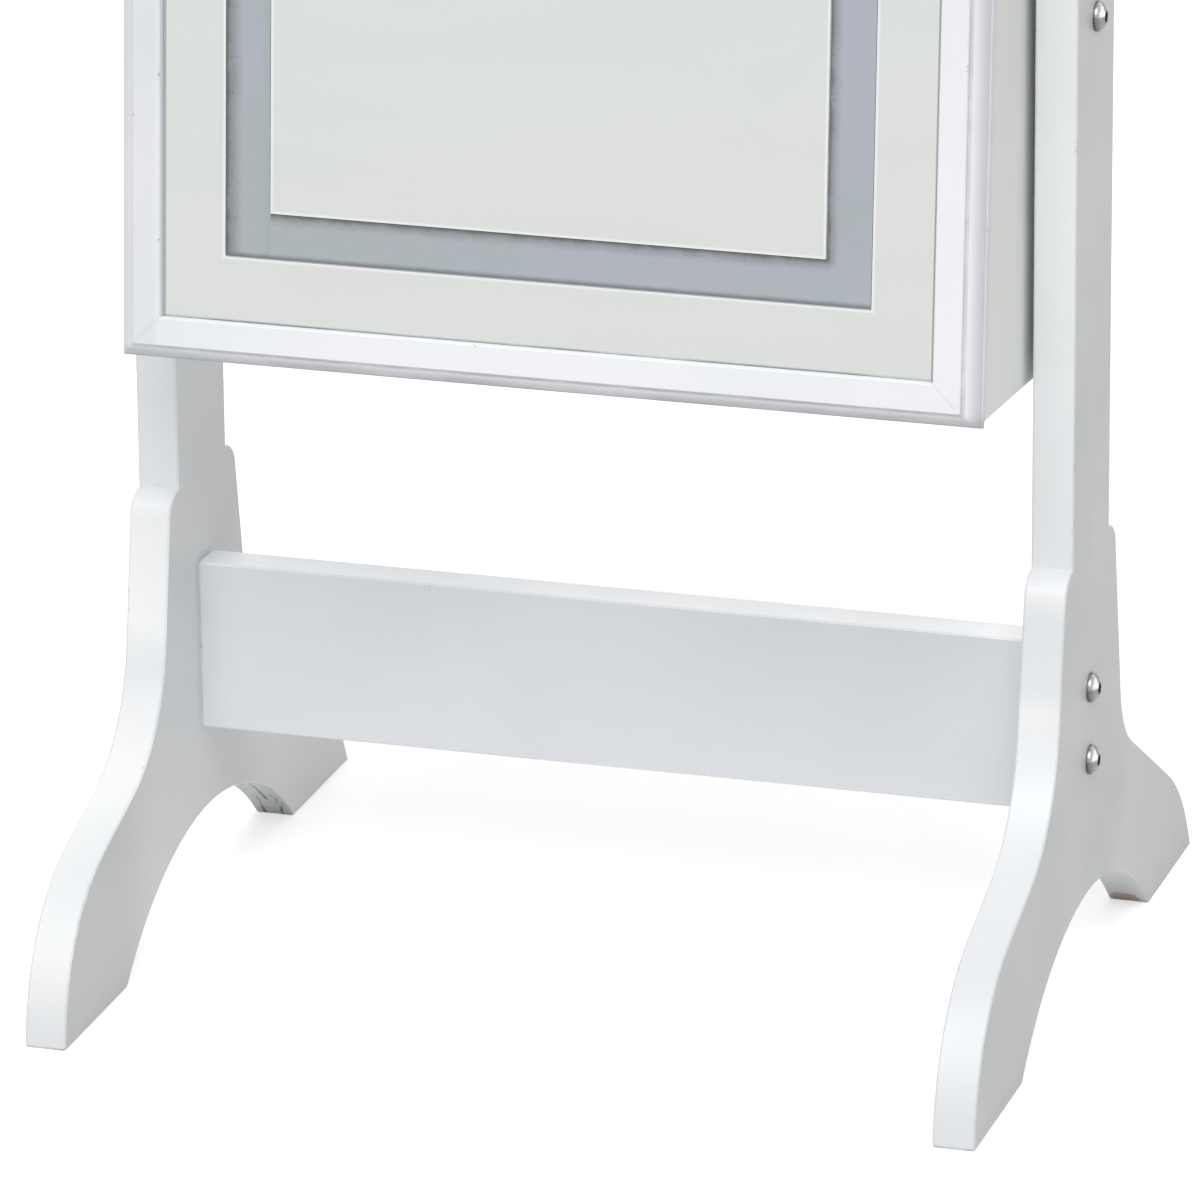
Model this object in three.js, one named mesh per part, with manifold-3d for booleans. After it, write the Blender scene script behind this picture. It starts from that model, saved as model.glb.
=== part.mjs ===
// Free-standing jewelry mirror cabinet: a shallow cabinet with a lit mirror door, hung between two
// shaped side boards and leaning back. Millimetres, +Z up, front towards -Y, floor at Z = 0.
import * as THREE from 'three';
import { mergeVertices } from 'three/addons/utils/BufferGeometryUtils.js';
import Module from 'manifold-3d';

const wasm = await Module();
wasm.setup();

// ---------- driving dimensions ----------
const degrees = THREE.MathUtils.degToRad;
const WIDTH = 410; // over the outer faces of the side boards
const GAP = 0.3; // clearance between pieces that touch
const EASE = 0.8; // eased edge of painted boards
const OVER = 1; // how far a cut or a joined piece runs past a face
const SHORT = 1; // a shank or sleeve ends this far before a board's far face

// side boards of the stand
const LEG_THICK = 18;
const POST_DEPTH = 60;
const FOOT_HALF = 183; // from the middle to the toe
const HEEL_HALF = 108; // from the middle to the heel
const ARCH_RISE = 44.5;
const NECK_SLOPE = degrees(9.2); // from the vertical
const SHOULDER_TOP = 198;
const SHOULDER_RADIUS = 12.5;
// the front foot swells at its instep, the back foot runs down straighter;
// the toe's curve is centred the given drop below the floor
const FRONT_FOOT = { toeRadius: 76, toeDrop: 2, instepSlope: degrees(18), neckRadius: 65 };
const BACK_FOOT = { toeRadius: 95, toeDrop: 35.3, instepSlope: degrees(30.6), neckRadius: 42 };

// stretcher and fasteners
const STRETCHER_LOW = 83;
const STRETCHER_HIGH = 158;
const STRETCHER_THICK = 18;
const STRETCHER_BOLT_PITCH = 32;
const BOLT_RADIUS = 3; // M6
const BOLT_TIP = 0.6; // chamfer at the end of the shank
const BOLT_HEAD_RADIUS = 6.3;
const BOLT_HEAD_HEIGHT = 4.2;
const BOLT_HEAD_RIM = 0.8; // straight edge under the dome
const HEX_SOCKET_RADIUS = 2.2;
const HEX_SOCKET_DEEP = 2.4;
const BOLT_REACH = 37; // of a stretcher bolt into the stretcher
const NUT_RADIUS = 5;
const NUT_INSET = 27; // cross-dowel nut from the stretcher's end
const NUT_LENGTH = 12;
const SLEEVE_RADIUS = 5;

// how the cabinet hangs
const LEAN = degrees(4.26);
const CABINET_FRONT_Y = -108.3; // lower front edge of the door
const CABINET_LOW_Z = 280;
const PIVOT_Z = 900;
const LEAN_BOLT_Z = 427;
const LEAN_BOLT_REACH = 1.2; // of its tip beyond the post
const PAD_RADIUS = 8;
const PAD_FLOOR = 1.4; // nylon left under the lean bolt's tip
const SPACER_RADIUS = 12;

// door: X across, Y depth behind its front face, Z along its height
const DOOR_WIDTH = 369;
const DOOR_HEIGHT = 1190;
const DOOR_DEPTH = 11;
const FRAME_FACE = 19.2; // width of the frame seen from the front
const FRAME_ROUND = 0.5; // small rounding along the frame's steps
const STEP_AT = 7.2; // step between bead and flat, from the outer edge
const STEP_DEEP = 1.4;
const BEAD_DEEP = 8.9;
const LEDGE = 1.0;
const RABBET_AT = 12.9;
const LIP_DEEP = 4.1; // thickness of the frame lip over the glass
const GLASS_THICK = 3;
const BAND_INSET = 46.5; // light band from the door's edges
const BAND_WIDTH = 19.5;
const BAND_DEEP = 1.0;
const BAND_THICK = 0.5;
const LED_WIDTH = 10;
const LED_THICK = 1.2;
const LED_CHANNEL_DEEP = 1.8;
const LED_CHANNEL_WIDTH = 14;

// battery case on the door's back
const CASE_HALF = 48;
const CASE_DEEP = 14;
const CASE_LOW = 26;
const CASE_HIGH = 86;
const CASE_EASE = 1.5;
const LID_HALF = 43;
const LID_MARGIN = 4; // lid above the case's lower edge
const LID_THICK = 2;
const LID_RIB = { count: 4, pitch: 2.4, high: 1, out: 0.6 };
const BUTTON_RADIUS = 5;
const BUTTON_HEIGHT = 74;
const BUTTON_WELL = 5;
const BUTTON_ROOM = 2.3; // under the button, more than its travel
const BUTTON_LENGTH = 4.9;

// cabinet box behind the door
const DOOR_GAP = 1.0;
const BOX_INSET = 1.2; // box side from the door's outer edge
const BOX_BACK = 122; // from the door's front face
const BOX_BOARD = 12;
const BACK_PANEL = 3;

// what the cabinet holds
const SHELF_HEIGHTS = [215, 365, 515];
const SHELF_THICK = 8;
const SHELF_LIP = 10;
const SHELF_LIP_THICK = 6;
const SHELF_FRONT = 20;
const RING_ROLLS = 8;
const RING_PITCH = 15;
const RING_PAD_DEEP = 22;
const RING_PAD_INSET = 12; // from the cabinet's sides
const EARRING_HEIGHTS = [580, 640, 700];
const EARRING_DEPTH = 100; // back face of the bars
const EARRING_BAR = { high: 14, thick: 3, notches: 20, notchHalf: 1.6, notchDeep: 4 };
const ROD_HEIGHT = 800;
const ROD_DEPTH = 70;
const ROD_RADIUS = 7;
const COLLAR_RADIUS = 11;
const COLLAR_LENGTH = 4;
const PEG_COUNT = 8;
const PEG_RAIL_LOW = 1118;
const PEG_RAIL_HIGH = 34;
const PEG_RAIL_THICK = 12;
const PEG = { radius: 2.5, ball: 4.5, length: 28, rise: degrees(8) };

// hinges
const HINGE_HEIGHTS = [200, 595, 990];
const HINGE_LENGTH = 40;
const KNUCKLE_RADIUS = 2.2;
const PIN_RADIUS = 0.9;
const PIN_HEAD = 1;
const LEAF_THICK = 0.9;
const LEAF_WIDTH = 11;

// lock: barrel across the right side board, hook cam inside, keeper on the door
const LOCK_HEIGHT = 800;
const LOCK_DEPTH = 34;
const LOCK_RADIUS = 8;
const LOCK_INNER = 160; // inner end of the barrel
const LOCK_FLANGE = { radius: 9.5, thick: 1.7, ease: 0.7 };
const LOCK_NUT = { radius: 11, thick: 4 };
const PLUG_RADIUS = 5;
const PLUG_STUD = 3; // radius of the stud that carries the cam
const PLUG_HEAD = 2;
const KEYHOLE = { half: 3.4, wide: 1.8, deep: 6 };
const CAM = { thick: 2.2, eye: 6.5, armHalf: 3, reach: 20, hook: 5, hookHigh: 4.5 };
const KEEPER = { wide: 12, thick: 1.6, above: 9, lip: 5, back: 21.6, plate: 22, beside: 5 };

// magnetic catch
const CATCH_HEIGHT = 620;
const CATCH_WIDTH = 12;
const CATCH_PLATE = { half: 20, thick: 1.2, clear: 1 };
const MAGNET = { half: 16, deep: 12.7 };

// ---------- derived ----------
const LEG_INNER = WIDTH / 2 - LEG_THICK;
const POST_HALF = POST_DEPTH / 2;
const DOOR_HALF = DOOR_WIDTH / 2;
const BOX_HALF = DOOR_HALF - BOX_INSET;
const BOX_FRONT = DOOR_DEPTH + DOOR_GAP;
const BOX_LOW = 1;
const BOX_HIGH = DOOR_HEIGHT - BOX_LOW;
const INNER_HALF = BOX_HALF - BOX_BOARD;
const BACK_FRONT = BOX_BACK - GAP - BACK_PANEL; // front face of the back panel
const INNER_BACK = BACK_FRONT - GAP;
const SIDE_GAP = LEG_INNER - BOX_HALF; // between post and cabinet side
const CAM_X = LOCK_INNER - 2 * CAM.thick;
const QUARTER = Math.PI / 2;
const SIDES = [['left', -1], ['right', 1]];
const LEVELS = ['lower', 'middle', 'upper'];

// ---------- finishes ----------
const finish = (color, roughness, metalness) => () =>
  new THREE.MeshStandardMaterial({ color, roughness, metalness });
const whitePaint = finish(0xeff1f4, 0.42, 0);
const sideFoil = finish(0xe2e5e1, 0.5, 0);
const mirrorSilver = finish(0xdfe2de, 0.04, 1);
const frosted = finish(0xa9b3b9, 0.6, 0);
const ledTape = finish(0xf4f1e4, 0.5, 0);
const chrome = finish(0xb9bcc0, 0.18, 1);
const brass = finish(0xb59a55, 0.35, 1);
const steel = finish(0x9da1a6, 0.3, 1);
const nylon = finish(0xe6e6e2, 0.55, 0);
const plastic = finish(0xe9ebed, 0.4, 0);
const velvet = finish(0x23242a, 0.95, 0);
const iron = finish(0x3b3d40, 0.6, 0.6);

// ---------- solids ----------
function toSolid(geometry) {
  const bare = new THREE.BufferGeometry();
  bare.setAttribute('position', geometry.getAttribute('position').clone());
  if (geometry.index) bare.setIndex(geometry.index.clone());
  const merged = mergeVertices(bare, 1e-4);
  return new wasm.Manifold(
    new wasm.Mesh({
      numProp: 3,
      vertProperties: merged.getAttribute('position').array,
      triVerts: new Uint32Array(merged.index.array),
    }),
  );
}

function toGeometry(solid) {
  const mesh = solid.getMesh();
  const geometry = new THREE.BufferGeometry();
  geometry.setAttribute('position', new THREE.BufferAttribute(new Float32Array(mesh.vertProperties), 3));
  geometry.setIndex(new THREE.BufferAttribute(new Uint32Array(mesh.triVerts), 1));
  const flat = geometry.toNonIndexed();
  flat.computeVertexNormals();
  return flat;
}

const cut = (base, tools) =>
  toGeometry(tools.reduce((solid, tool) => solid.subtract(toSolid(tool)), toSolid(base)));

const join = (parts) =>
  toGeometry(parts.slice(1).reduce((solid, part) => solid.add(toSolid(part)), toSolid(parts[0])));

// A plain block between two corners.
function block(x0, x1, y0, y1, z0, z1) {
  const geometry = new THREE.BoxGeometry(x1 - x0, y1 - y0, z1 - z0);
  return geometry.translate((x0 + x1) / 2, (y0 + y1) / 2, (z0 + z1) / 2);
}

const shapeOf = (pairs) => new THREE.Shape(pairs.map(([x, y]) => new THREE.Vector2(x, y)));

// A board between two corners, with every edge eased.
function board(x0, x1, y0, y1, z0, z1, ease = EASE) {
  const a = (x1 - x0) / 2;
  const b = (y1 - y0) / 2;
  const outline = [
    [a - ease, -b],
    [a, ease - b],
    [a, b - ease],
    [a - ease, b],
    [ease - a, b],
    [-a, b - ease],
    [-a, ease - b],
    [ease - a, -b],
  ];
  const geometry = easedExtrude(shapeOf(outline), z1 - z0, ease);
  return geometry.translate((x0 + x1) / 2, (y0 + y1) / 2, z0);
}

// A shape extruded from Z = 0 to the given thickness, its two outlines chamfered.
function easedExtrude(shape, thickness, ease) {
  const geometry = new THREE.ExtrudeGeometry(shape, {
    depth: thickness - 2 * ease,
    bevelEnabled: true,
    bevelThickness: ease,
    bevelSize: ease,
    bevelOffset: -ease,
    bevelSegments: 1,
    curveSegments: 8,
  });
  return geometry.translate(0, 0, ease);
}

const straightExtrude = (shape, depth) =>
  new THREE.ExtrudeGeometry(shape, { depth, bevelEnabled: false, curveSegments: 8 });

// Turns a geometry drawn in (x, y) and extruded along z so that x runs along Y, y up Z and z along X.
const ACROSS = new THREE.Matrix4().makeBasis(
  new THREE.Vector3(0, 1, 0),
  new THREE.Vector3(0, 0, 1),
  new THREE.Vector3(1, 0, 0),
);
const layAcross = (geometry) => geometry.applyMatrix4(ACROSS);

// A revolved profile of [radius, position] pairs along +X.
function turnedX(profile, segments = 20) {
  const points = profile.map(([radius, along]) => new THREE.Vector2(radius, along));
  return new THREE.LatheGeometry(points, segments).rotateZ(-QUARTER);
}

function rodX(radius, x0, x1, segments = 20) {
  return turnedX([[0, x0], [radius, x0], [radius, x1], [0, x1]], segments);
}

function rodY(radius, y0, y1, segments = 20) {
  return rodX(radius, y0, y1, segments).rotateZ(QUARTER);
}

function rodZ(radius, z0, z1, segments = 20) {
  return rodX(radius, z0, z1, segments).rotateY(-QUARTER);
}

// A sleeve along X: a revolved ring whose profile closes on itself.
function sleeveX(outer, inner, x0, x1, segments = 20) {
  return turnedX([[inner, x0], [outer, x0], [outer, x1], [inner, x1], [inner, x0]], segments);
}

function arcPoints(cx, cy, radius, from, to, steps) {
  return Array.from({ length: steps + 1 }, (_, i) => {
    const angle = from + ((to - from) * i) / steps;
    return new THREE.Vector2(cx + radius * Math.cos(angle), cy + radius * Math.sin(angle));
  });
}

// Rounds the corner between two directions that meet at a point.
function filletPoints(corner, towardsA, towardsB, radius, steps) {
  const between = towardsA.clone().add(towardsB).normalize();
  const half = towardsA.angleTo(towardsB) / 2;
  const centre = corner.clone().addScaledVector(between, radius / Math.sin(half));
  const reach = radius / Math.tan(half);
  const a = corner.clone().addScaledVector(towardsA, reach).sub(centre).angle();
  const b = corner.clone().addScaledVector(towardsB, reach).sub(centre).angle();
  const turn = Math.atan2(Math.sin(b - a), Math.cos(b - a));
  return arcPoints(centre.x, centre.y, radius, a, a + turn, steps);
}

// ---------- the part ----------
const group = new THREE.Group();

const cabinet = new THREE.Group();
cabinet.position.set(0, CABINET_FRONT_Y, CABINET_LOW_Z);
cabinet.rotation.x = -LEAN;
group.add(cabinet);

const door = new THREE.Group();
cabinet.add(door);

function piece(parent, name, geometry, material, place = [0, 0, 0], turn = [0, 0, 0]) {
  const mesh = new THREE.Mesh(geometry, material());
  mesh.name = name;
  mesh.position.set(...place);
  mesh.rotation.set(...turn);
  parent.add(mesh);
}

// Where a point of the room lies in the leaning cabinet.
function inCabinet(y, z) {
  const dy = y - CABINET_FRONT_Y;
  const dz = z - CABINET_LOW_Z;
  return {
    depth: dy * Math.cos(LEAN) - dz * Math.sin(LEAN),
    height: dy * Math.sin(LEAN) + dz * Math.cos(LEAN),
  };
}
const pivot = inCabinet(0, PIVOT_Z);

// ---------- stand: shaped side boards ----------
const STRETCHER_MID = (STRETCHER_LOW + STRETCHER_HIGH) / 2;
const STRETCHER_BOLT_HEIGHTS = [-1, 1].map((side) => STRETCHER_MID + (side * STRETCHER_BOLT_PITCH) / 2);

// One half of the side board's outline, from the top of the arch round the foot to the top of the post.
function halfLegOutline(foot) {
  const archRadius = (HEEL_HALF ** 2 + ARCH_RISE ** 2) / (2 * ARCH_RISE);
  const archSpan = Math.asin(HEEL_HALF / archRadius);
  const arch = arcPoints(0, ARCH_RISE - archRadius, archRadius, QUARTER, QUARTER - archSpan, 12);

  const toeStart = Math.asin(foot.toeDrop / foot.toeRadius);
  const toeEnd = QUARTER - foot.instepSlope;
  const toeCentre = FOOT_HALF - foot.toeRadius * Math.cos(toeStart);
  const toe = arcPoints(toeCentre, -foot.toeDrop, foot.toeRadius, toeStart, toeEnd, 10);

  const neckTop = new THREE.Vector2(POST_HALF + SHOULDER_RADIUS, SHOULDER_TOP - SHOULDER_RADIUS);
  const upNeck = new THREE.Vector2(-Math.sin(NECK_SLOPE), Math.cos(NECK_SLOPE));
  const downInstep = new THREE.Vector2(Math.cos(foot.instepSlope), -Math.sin(foot.instepSlope));
  const instepTop = toe[toe.length - 1];
  const between = neckTop.clone().sub(instepTop);
  const along = between.cross(upNeck) / downInstep.cross(upNeck);
  const corner = instepTop.clone().addScaledVector(downInstep, along);
  const neck = filletPoints(corner, downInstep, upNeck, foot.neckRadius, 8);

  const shoulder = arcPoints(POST_HALF, neckTop.y, SHOULDER_RADIUS, 0, QUARTER, 6);
  const top = arcPoints(0, PIVOT_Z, POST_HALF, 0, QUARTER, 10);
  return [...arch, ...toe, ...neck, ...shoulder, ...top];
}

function legGeometry() {
  const back = halfLegOutline(BACK_FOOT);
  const front = halfLegOutline(FRONT_FOOT).slice(1, -1).map((p) => new THREE.Vector2(-p.x, p.y));
  const shape = new THREE.Shape([...back, ...front.reverse()]);
  const hole = (z, radius) => {
    const path = new THREE.Path();
    path.absarc(0, z, radius, 0, 2 * Math.PI, false);
    shape.holes.push(path);
  };
  STRETCHER_BOLT_HEIGHTS.forEach((z) => hole(z, BOLT_RADIUS + GAP));
  hole(LEAN_BOLT_Z, SLEEVE_RADIUS + GAP);
  hole(PIVOT_Z, BOLT_RADIUS + GAP);
  return layAcross(easedExtrude(shape, LEG_THICK, EASE));
}

piece(group, 'leg_right', legGeometry(), whitePaint, [LEG_INNER, 0, 0]);
piece(group, 'leg_left', legGeometry(), whitePaint, [-WIDTH / 2, 0, 0]);

// ---------- stand: stretcher and its fasteners ----------
const STRETCHER_HALF = LEG_INNER - GAP;
const NUT_X = STRETCHER_HALF - NUT_INSET;

function stretcherGeometry() {
  const deep = STRETCHER_THICK / 2;
  const body = board(-STRETCHER_HALF, STRETCHER_HALF, -deep, deep, STRETCHER_LOW, STRETCHER_HIGH);
  const tools = [];
  for (const side of [-1, 1]) {
    for (const z of STRETCHER_BOLT_HEIGHTS) {
      const ends = [side * (STRETCHER_HALF - BOLT_REACH - OVER), side * (STRETCHER_HALF + OVER)];
      const bore = rodX(BOLT_RADIUS + GAP, Math.min(...ends), Math.max(...ends), 16);
      tools.push(bore.translate(0, 0, z));
      const nutBore = rodY(NUT_RADIUS + GAP, deep - NUT_LENGTH - GAP, deep + OVER, 16);
      tools.push(nutBore.translate(side * NUT_X, 0, z));
    }
  }
  return cut(body, tools);
}

// Dome-head bolt along +X, head outwards from X = 0, shank inwards, with a hexagon socket.
function boltGeometry(shank) {
  const rise = BOLT_HEAD_HEIGHT - BOLT_HEAD_RIM;
  const dome = arcPoints(0, 0, 1, Math.PI / 8, (3 * Math.PI) / 8, 2)
    .map(({ x, y }) => [BOLT_HEAD_RADIUS * x, BOLT_HEAD_RIM + rise * y]);
  const profile = [
    [0, -shank],
    [BOLT_RADIUS - BOLT_TIP, -shank],
    [BOLT_RADIUS, BOLT_TIP - shank],
    [BOLT_RADIUS, 0],
    [BOLT_HEAD_RADIUS, 0],
    [BOLT_HEAD_RADIUS, BOLT_HEAD_RIM],
    ...dome,
    [0, BOLT_HEAD_HEIGHT],
  ];
  const socket = rodX(HEX_SOCKET_RADIUS, BOLT_HEAD_HEIGHT - HEX_SOCKET_DEEP, BOLT_HEAD_HEIGHT + OVER, 6);
  return cut(turnedX(profile, 16), [socket]);
}

// A cross-dowel nut along Y, its end flush with the stretcher's back, with the bolt's bore across it.
function nutGeometry() {
  const back = STRETCHER_THICK / 2;
  const bore = rodX(BOLT_RADIUS + GAP, -NUT_RADIUS - OVER, NUT_RADIUS + OVER, 16);
  return cut(rodY(NUT_RADIUS, back - NUT_LENGTH, back, 20), [bore]);
}

piece(group, 'stretcher', stretcherGeometry(), whitePaint);

const facing = (side) => [0, 0, side > 0 ? 0 : Math.PI];

for (const [sideName, side] of SIDES) {
  const headX = side * (WIDTH / 2 + GAP);
  const shank = LEG_THICK + 2 * GAP + BOLT_REACH;
  STRETCHER_BOLT_HEIGHTS.forEach((z, i) => {
    const place = `${sideName}_${['lower', 'upper'][i]}`;
    piece(group, `stretcher_bolt_${place}`, boltGeometry(shank), chrome, [headX, 0, z], facing(side));
    piece(group, `cross_nut_${place}`, nutGeometry(), steel, [side * NUT_X, 0, z]);
  });
}

// ---------- stand: pivot and lean bolts ----------
function leanPadGeometry() {
  const socket = rodX(BOLT_RADIUS + GAP, PAD_FLOOR, SIDE_GAP, 16);
  return cut(rodX(PAD_RADIUS, GAP, SIDE_GAP - GAP, 24), [socket]);
}

for (const [sideName, side] of SIDES) {
  const headX = side * (WIDTH / 2 + GAP);
  const turn = facing(side);
  const boxSide = side * BOX_HALF;

  const pivotShank = LEG_THICK + SIDE_GAP + BOX_BOARD - SHORT;
  piece(group, `pivot_bolt_${sideName}`, boltGeometry(pivotShank), chrome, [headX, 0, PIVOT_Z], turn);
  const spacer = sleeveX(SPACER_RADIUS, BOLT_RADIUS + GAP, GAP, SIDE_GAP - GAP, 24);
  piece(group, `pivot_spacer_${sideName}`, spacer, nylon, [boxSide, 0, PIVOT_Z], turn);

  const leanShank = LEG_THICK + 2 * GAP + LEAN_BOLT_REACH;
  piece(group, `lean_bolt_${sideName}`, boltGeometry(leanShank), chrome, [headX, 0, LEAN_BOLT_Z], turn);
  const sleeve = sleeveX(SLEEVE_RADIUS, BOLT_RADIUS + GAP, GAP, LEG_THICK - SHORT);
  piece(group, `lean_sleeve_${sideName}`, sleeve, brass, [side * LEG_INNER, 0, LEAN_BOLT_Z], turn);
  piece(group, `lean_pad_${sideName}`, leanPadGeometry(), nylon, [boxSide, 0, LEAN_BOLT_Z], turn);
}

// ---------- hinges ----------
const HINGE_AXIS_X = -DOOR_HALF - GAP - KNUCKLE_RADIUS;
const HINGE_AXIS_Y = DOOR_DEPTH + DOOR_GAP / 2;
const LEAF_INNER = GAP / 2; // each leaf from the plane between door and box
const LEAF_OUTER = LEAF_INNER + LEAF_THICK;
const LEAF_EDGE = HINGE_AXIS_X + KNUCKLE_RADIUS + GAP;
const KNUCKLE = (HINGE_LENGTH - 2 * GAP) / 3;

// One leaf, centred on its own height: a plate beside the axis and tabs that roll into its knuckles.
function leafGeometry(toBox, knuckles) {
  const y0 = toBox ? LEAF_INNER : -LEAF_OUTER;
  const y1 = toBox ? LEAF_OUTER : -LEAF_INNER;
  const x0 = LEAF_EDGE - HINGE_AXIS_X;
  const half = HINGE_LENGTH / 2;
  const parts = [block(x0, x0 + LEAF_WIDTH, y0, y1, -half, half)];
  for (const [z0, z1] of knuckles) {
    parts.push(block(0, x0 + OVER, y0, y1, z0, z1));
    parts.push(rodZ(KNUCKLE_RADIUS, z0, z1, 16));
  }
  return join(parts);
}

function boxLeafGeometry() {
  const leaf = leafGeometry(true, [[-KNUCKLE / 2, KNUCKLE / 2]]);
  const reach = (HINGE_LENGTH + PIN_HEAD) / 2 + GAP;
  const pin = rodZ(PIN_RADIUS, -reach, reach, 12);
  const heads = [-reach, reach].map((z) =>
    rodZ(KNUCKLE_RADIUS - GAP, z - PIN_HEAD / 2, z + PIN_HEAD / 2, 16),
  );
  return join([leaf, pin, ...heads]);
}

function doorLeafGeometry() {
  const half = HINGE_LENGTH / 2;
  const inner = KNUCKLE / 2 + GAP;
  const leaf = leafGeometry(false, [[-half, -inner], [inner, half]]);
  return cut(leaf, [rodZ(PIN_RADIUS + GAP, -half - OVER, half + OVER, 12)]);
}

HINGE_HEIGHTS.forEach((height, i) => {
  const place = [HINGE_AXIS_X, HINGE_AXIS_Y, height];
  piece(cabinet, `hinge_${LEVELS[i]}_cabinet_leaf`, boxLeafGeometry(), steel, place);
  piece(door, `hinge_${LEVELS[i]}_door_leaf`, doorLeafGeometry(), steel, place);
});

// The shallow pockets that the leaves lie in, cut in the door rail or in the box side.
function leafPockets(toBox) {
  const outside = -DOOR_HALF - OVER;
  const inside = LEAF_EDGE + LEAF_WIDTH + GAP;
  const deep = HINGE_AXIS_Y + (toBox ? LEAF_OUTER + GAP : -LEAF_OUTER - GAP);
  const open = HINGE_AXIS_Y;
  const half = HINGE_LENGTH / 2 + GAP;
  return HINGE_HEIGHTS.map((z) =>
    block(outside, inside, Math.min(deep, open), Math.max(deep, open), z - half, z + half),
  );
}

// ---------- door: mitred frame ----------
// Section of a rail: x inwards from the door's outer edge, y back from its front face.
function railSection() {
  const bead = Array.from({ length: 8 }, (_, i) => {
    const angle = (i * Math.PI) / 14;
    const x = STEP_AT - (STEP_AT - LEDGE) * Math.sin(angle);
    const y = BEAD_DEEP - (BEAD_DEEP - STEP_DEEP) * Math.cos(angle);
    return [x, y];
  });
  return shapeOf([
    [FRAME_FACE, LIP_DEEP],
    [FRAME_FACE, FRAME_ROUND],
    [FRAME_FACE - FRAME_ROUND, 0],
    [STEP_AT + FRAME_ROUND, 0],
    [STEP_AT, FRAME_ROUND],
    ...bead,
    [LEDGE, BEAD_DEEP + FRAME_ROUND],
    [FRAME_ROUND / 2, BEAD_DEEP + FRAME_ROUND],
    [0, BEAD_DEEP + 2 * FRAME_ROUND],
    [0, DOOR_DEPTH],
    [RABBET_AT, DOOR_DEPTH],
    [RABBET_AT, LIP_DEEP],
  ]);
}

// A rail of the given length, both ends mitred so that it gets shorter inwards.
function railGeometry(length) {
  const geometry = straightExtrude(railSection(), length);
  const position = geometry.getAttribute('position');
  for (let i = 0; i < position.count; i += 1) {
    const inset = position.getX(i) + GAP / 2;
    const z = position.getZ(i);
    position.setZ(i, z < length / 2 ? z + inset : z - inset);
  }
  geometry.computeVertexNormals();
  return geometry;
}

const leftRail = cut(railGeometry(DOOR_HEIGHT).translate(-DOOR_HALF, 0, 0), leafPockets(false));
const rightRail = railGeometry(DOOR_HEIGHT);
const bottomRail = railGeometry(DOOR_WIDTH);
const topRail = railGeometry(DOOR_WIDTH);
piece(door, 'door_rail_left', leftRail, whitePaint);
piece(door, 'door_rail_right', rightRail, whitePaint, [DOOR_HALF, 0, DOOR_HEIGHT], [0, Math.PI, 0]);
piece(door, 'door_rail_bottom', bottomRail, whitePaint, [DOOR_HALF, 0, 0], [0, -QUARTER, 0]);
piece(door, 'door_rail_top', topRail, whitePaint, [-DOOR_HALF, 0, DOOR_HEIGHT], [0, QUARTER, 0]);

// ---------- door: glass, light band, backing ----------
const GLASS_EDGE = RABBET_AT + GAP;
const GLASS_FRONT = LIP_DEEP + GAP;
const BACKING_FRONT = GLASS_FRONT + GLASS_THICK + GAP;
const BACKING_THICK = DOOR_DEPTH - BACKING_FRONT;

// A sheet across the door, its edges the given distance inside the door's own.
function sheet(edge, y0, y1) {
  return block(edge - DOOR_HALF, DOOR_HALF - edge, y0, y1, edge, DOOR_HEIGHT - edge);
}

// A rectangular ring: a sheet with its middle cut out.
const ring = (edge, width, y0, y1) => cut(sheet(edge, y0, y1), [sheet(edge + width, y0 - OVER, y1 + OVER)]);

function glassGeometry() {
  const pane = sheet(GLASS_EDGE, GLASS_FRONT, GLASS_FRONT + GLASS_THICK);
  return cut(pane, [ring(BAND_INSET, BAND_WIDTH, GLASS_FRONT - OVER, GLASS_FRONT + BAND_DEEP)]);
}

const BAND_MIDDLE = BAND_INSET + BAND_WIDTH / 2;
function backingGeometry() {
  const panel = sheet(GLASS_EDGE, BACKING_FRONT, BACKING_FRONT + BACKING_THICK);
  const edge = BAND_MIDDLE - LED_CHANNEL_WIDTH / 2;
  const channel = ring(edge, LED_CHANNEL_WIDTH, BACKING_FRONT - OVER, BACKING_FRONT + LED_CHANNEL_DEEP);
  return cut(panel, [channel]);
}

function bandGeometry() {
  const back = GLASS_FRONT + BAND_DEEP - GAP;
  return ring(BAND_INSET + GAP, BAND_WIDTH - 2 * GAP, back - BAND_THICK, back);
}

function tapeGeometry() {
  const back = BACKING_FRONT + LED_CHANNEL_DEEP - GAP;
  return ring(BAND_MIDDLE - LED_WIDTH / 2, LED_WIDTH, back - LED_THICK, back);
}

piece(door, 'mirror_glass', glassGeometry(), mirrorSilver);
piece(door, 'light_band', bandGeometry(), frosted);
piece(door, 'light_strip', tapeGeometry(), ledTape);
piece(door, 'door_backing', backingGeometry(), whitePaint);

// ---------- door: battery case and light button ----------
const CASE_FRONT = DOOR_DEPTH + GAP;
const CASE_BACK = CASE_FRONT + CASE_DEEP;
const LID_LOW = CASE_LOW + LID_MARGIN;
const LID_HIGH = BUTTON_HEIGHT - 2 * BUTTON_RADIUS;

function batteryCaseGeometry() {
  const body = board(-CASE_HALF, CASE_HALF, CASE_FRONT, CASE_BACK, CASE_LOW, CASE_HIGH, CASE_EASE);
  const lidSeat = block(-LID_HALF, LID_HALF, CASE_BACK - LID_THICK, CASE_BACK + OVER, LID_LOW, LID_HIGH);
  const well = rodY(BUTTON_RADIUS + GAP, CASE_BACK - BUTTON_WELL, CASE_BACK + OVER, 20);
  return cut(body, [lidSeat, well.translate(0, 0, BUTTON_HEIGHT)]);
}

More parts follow.
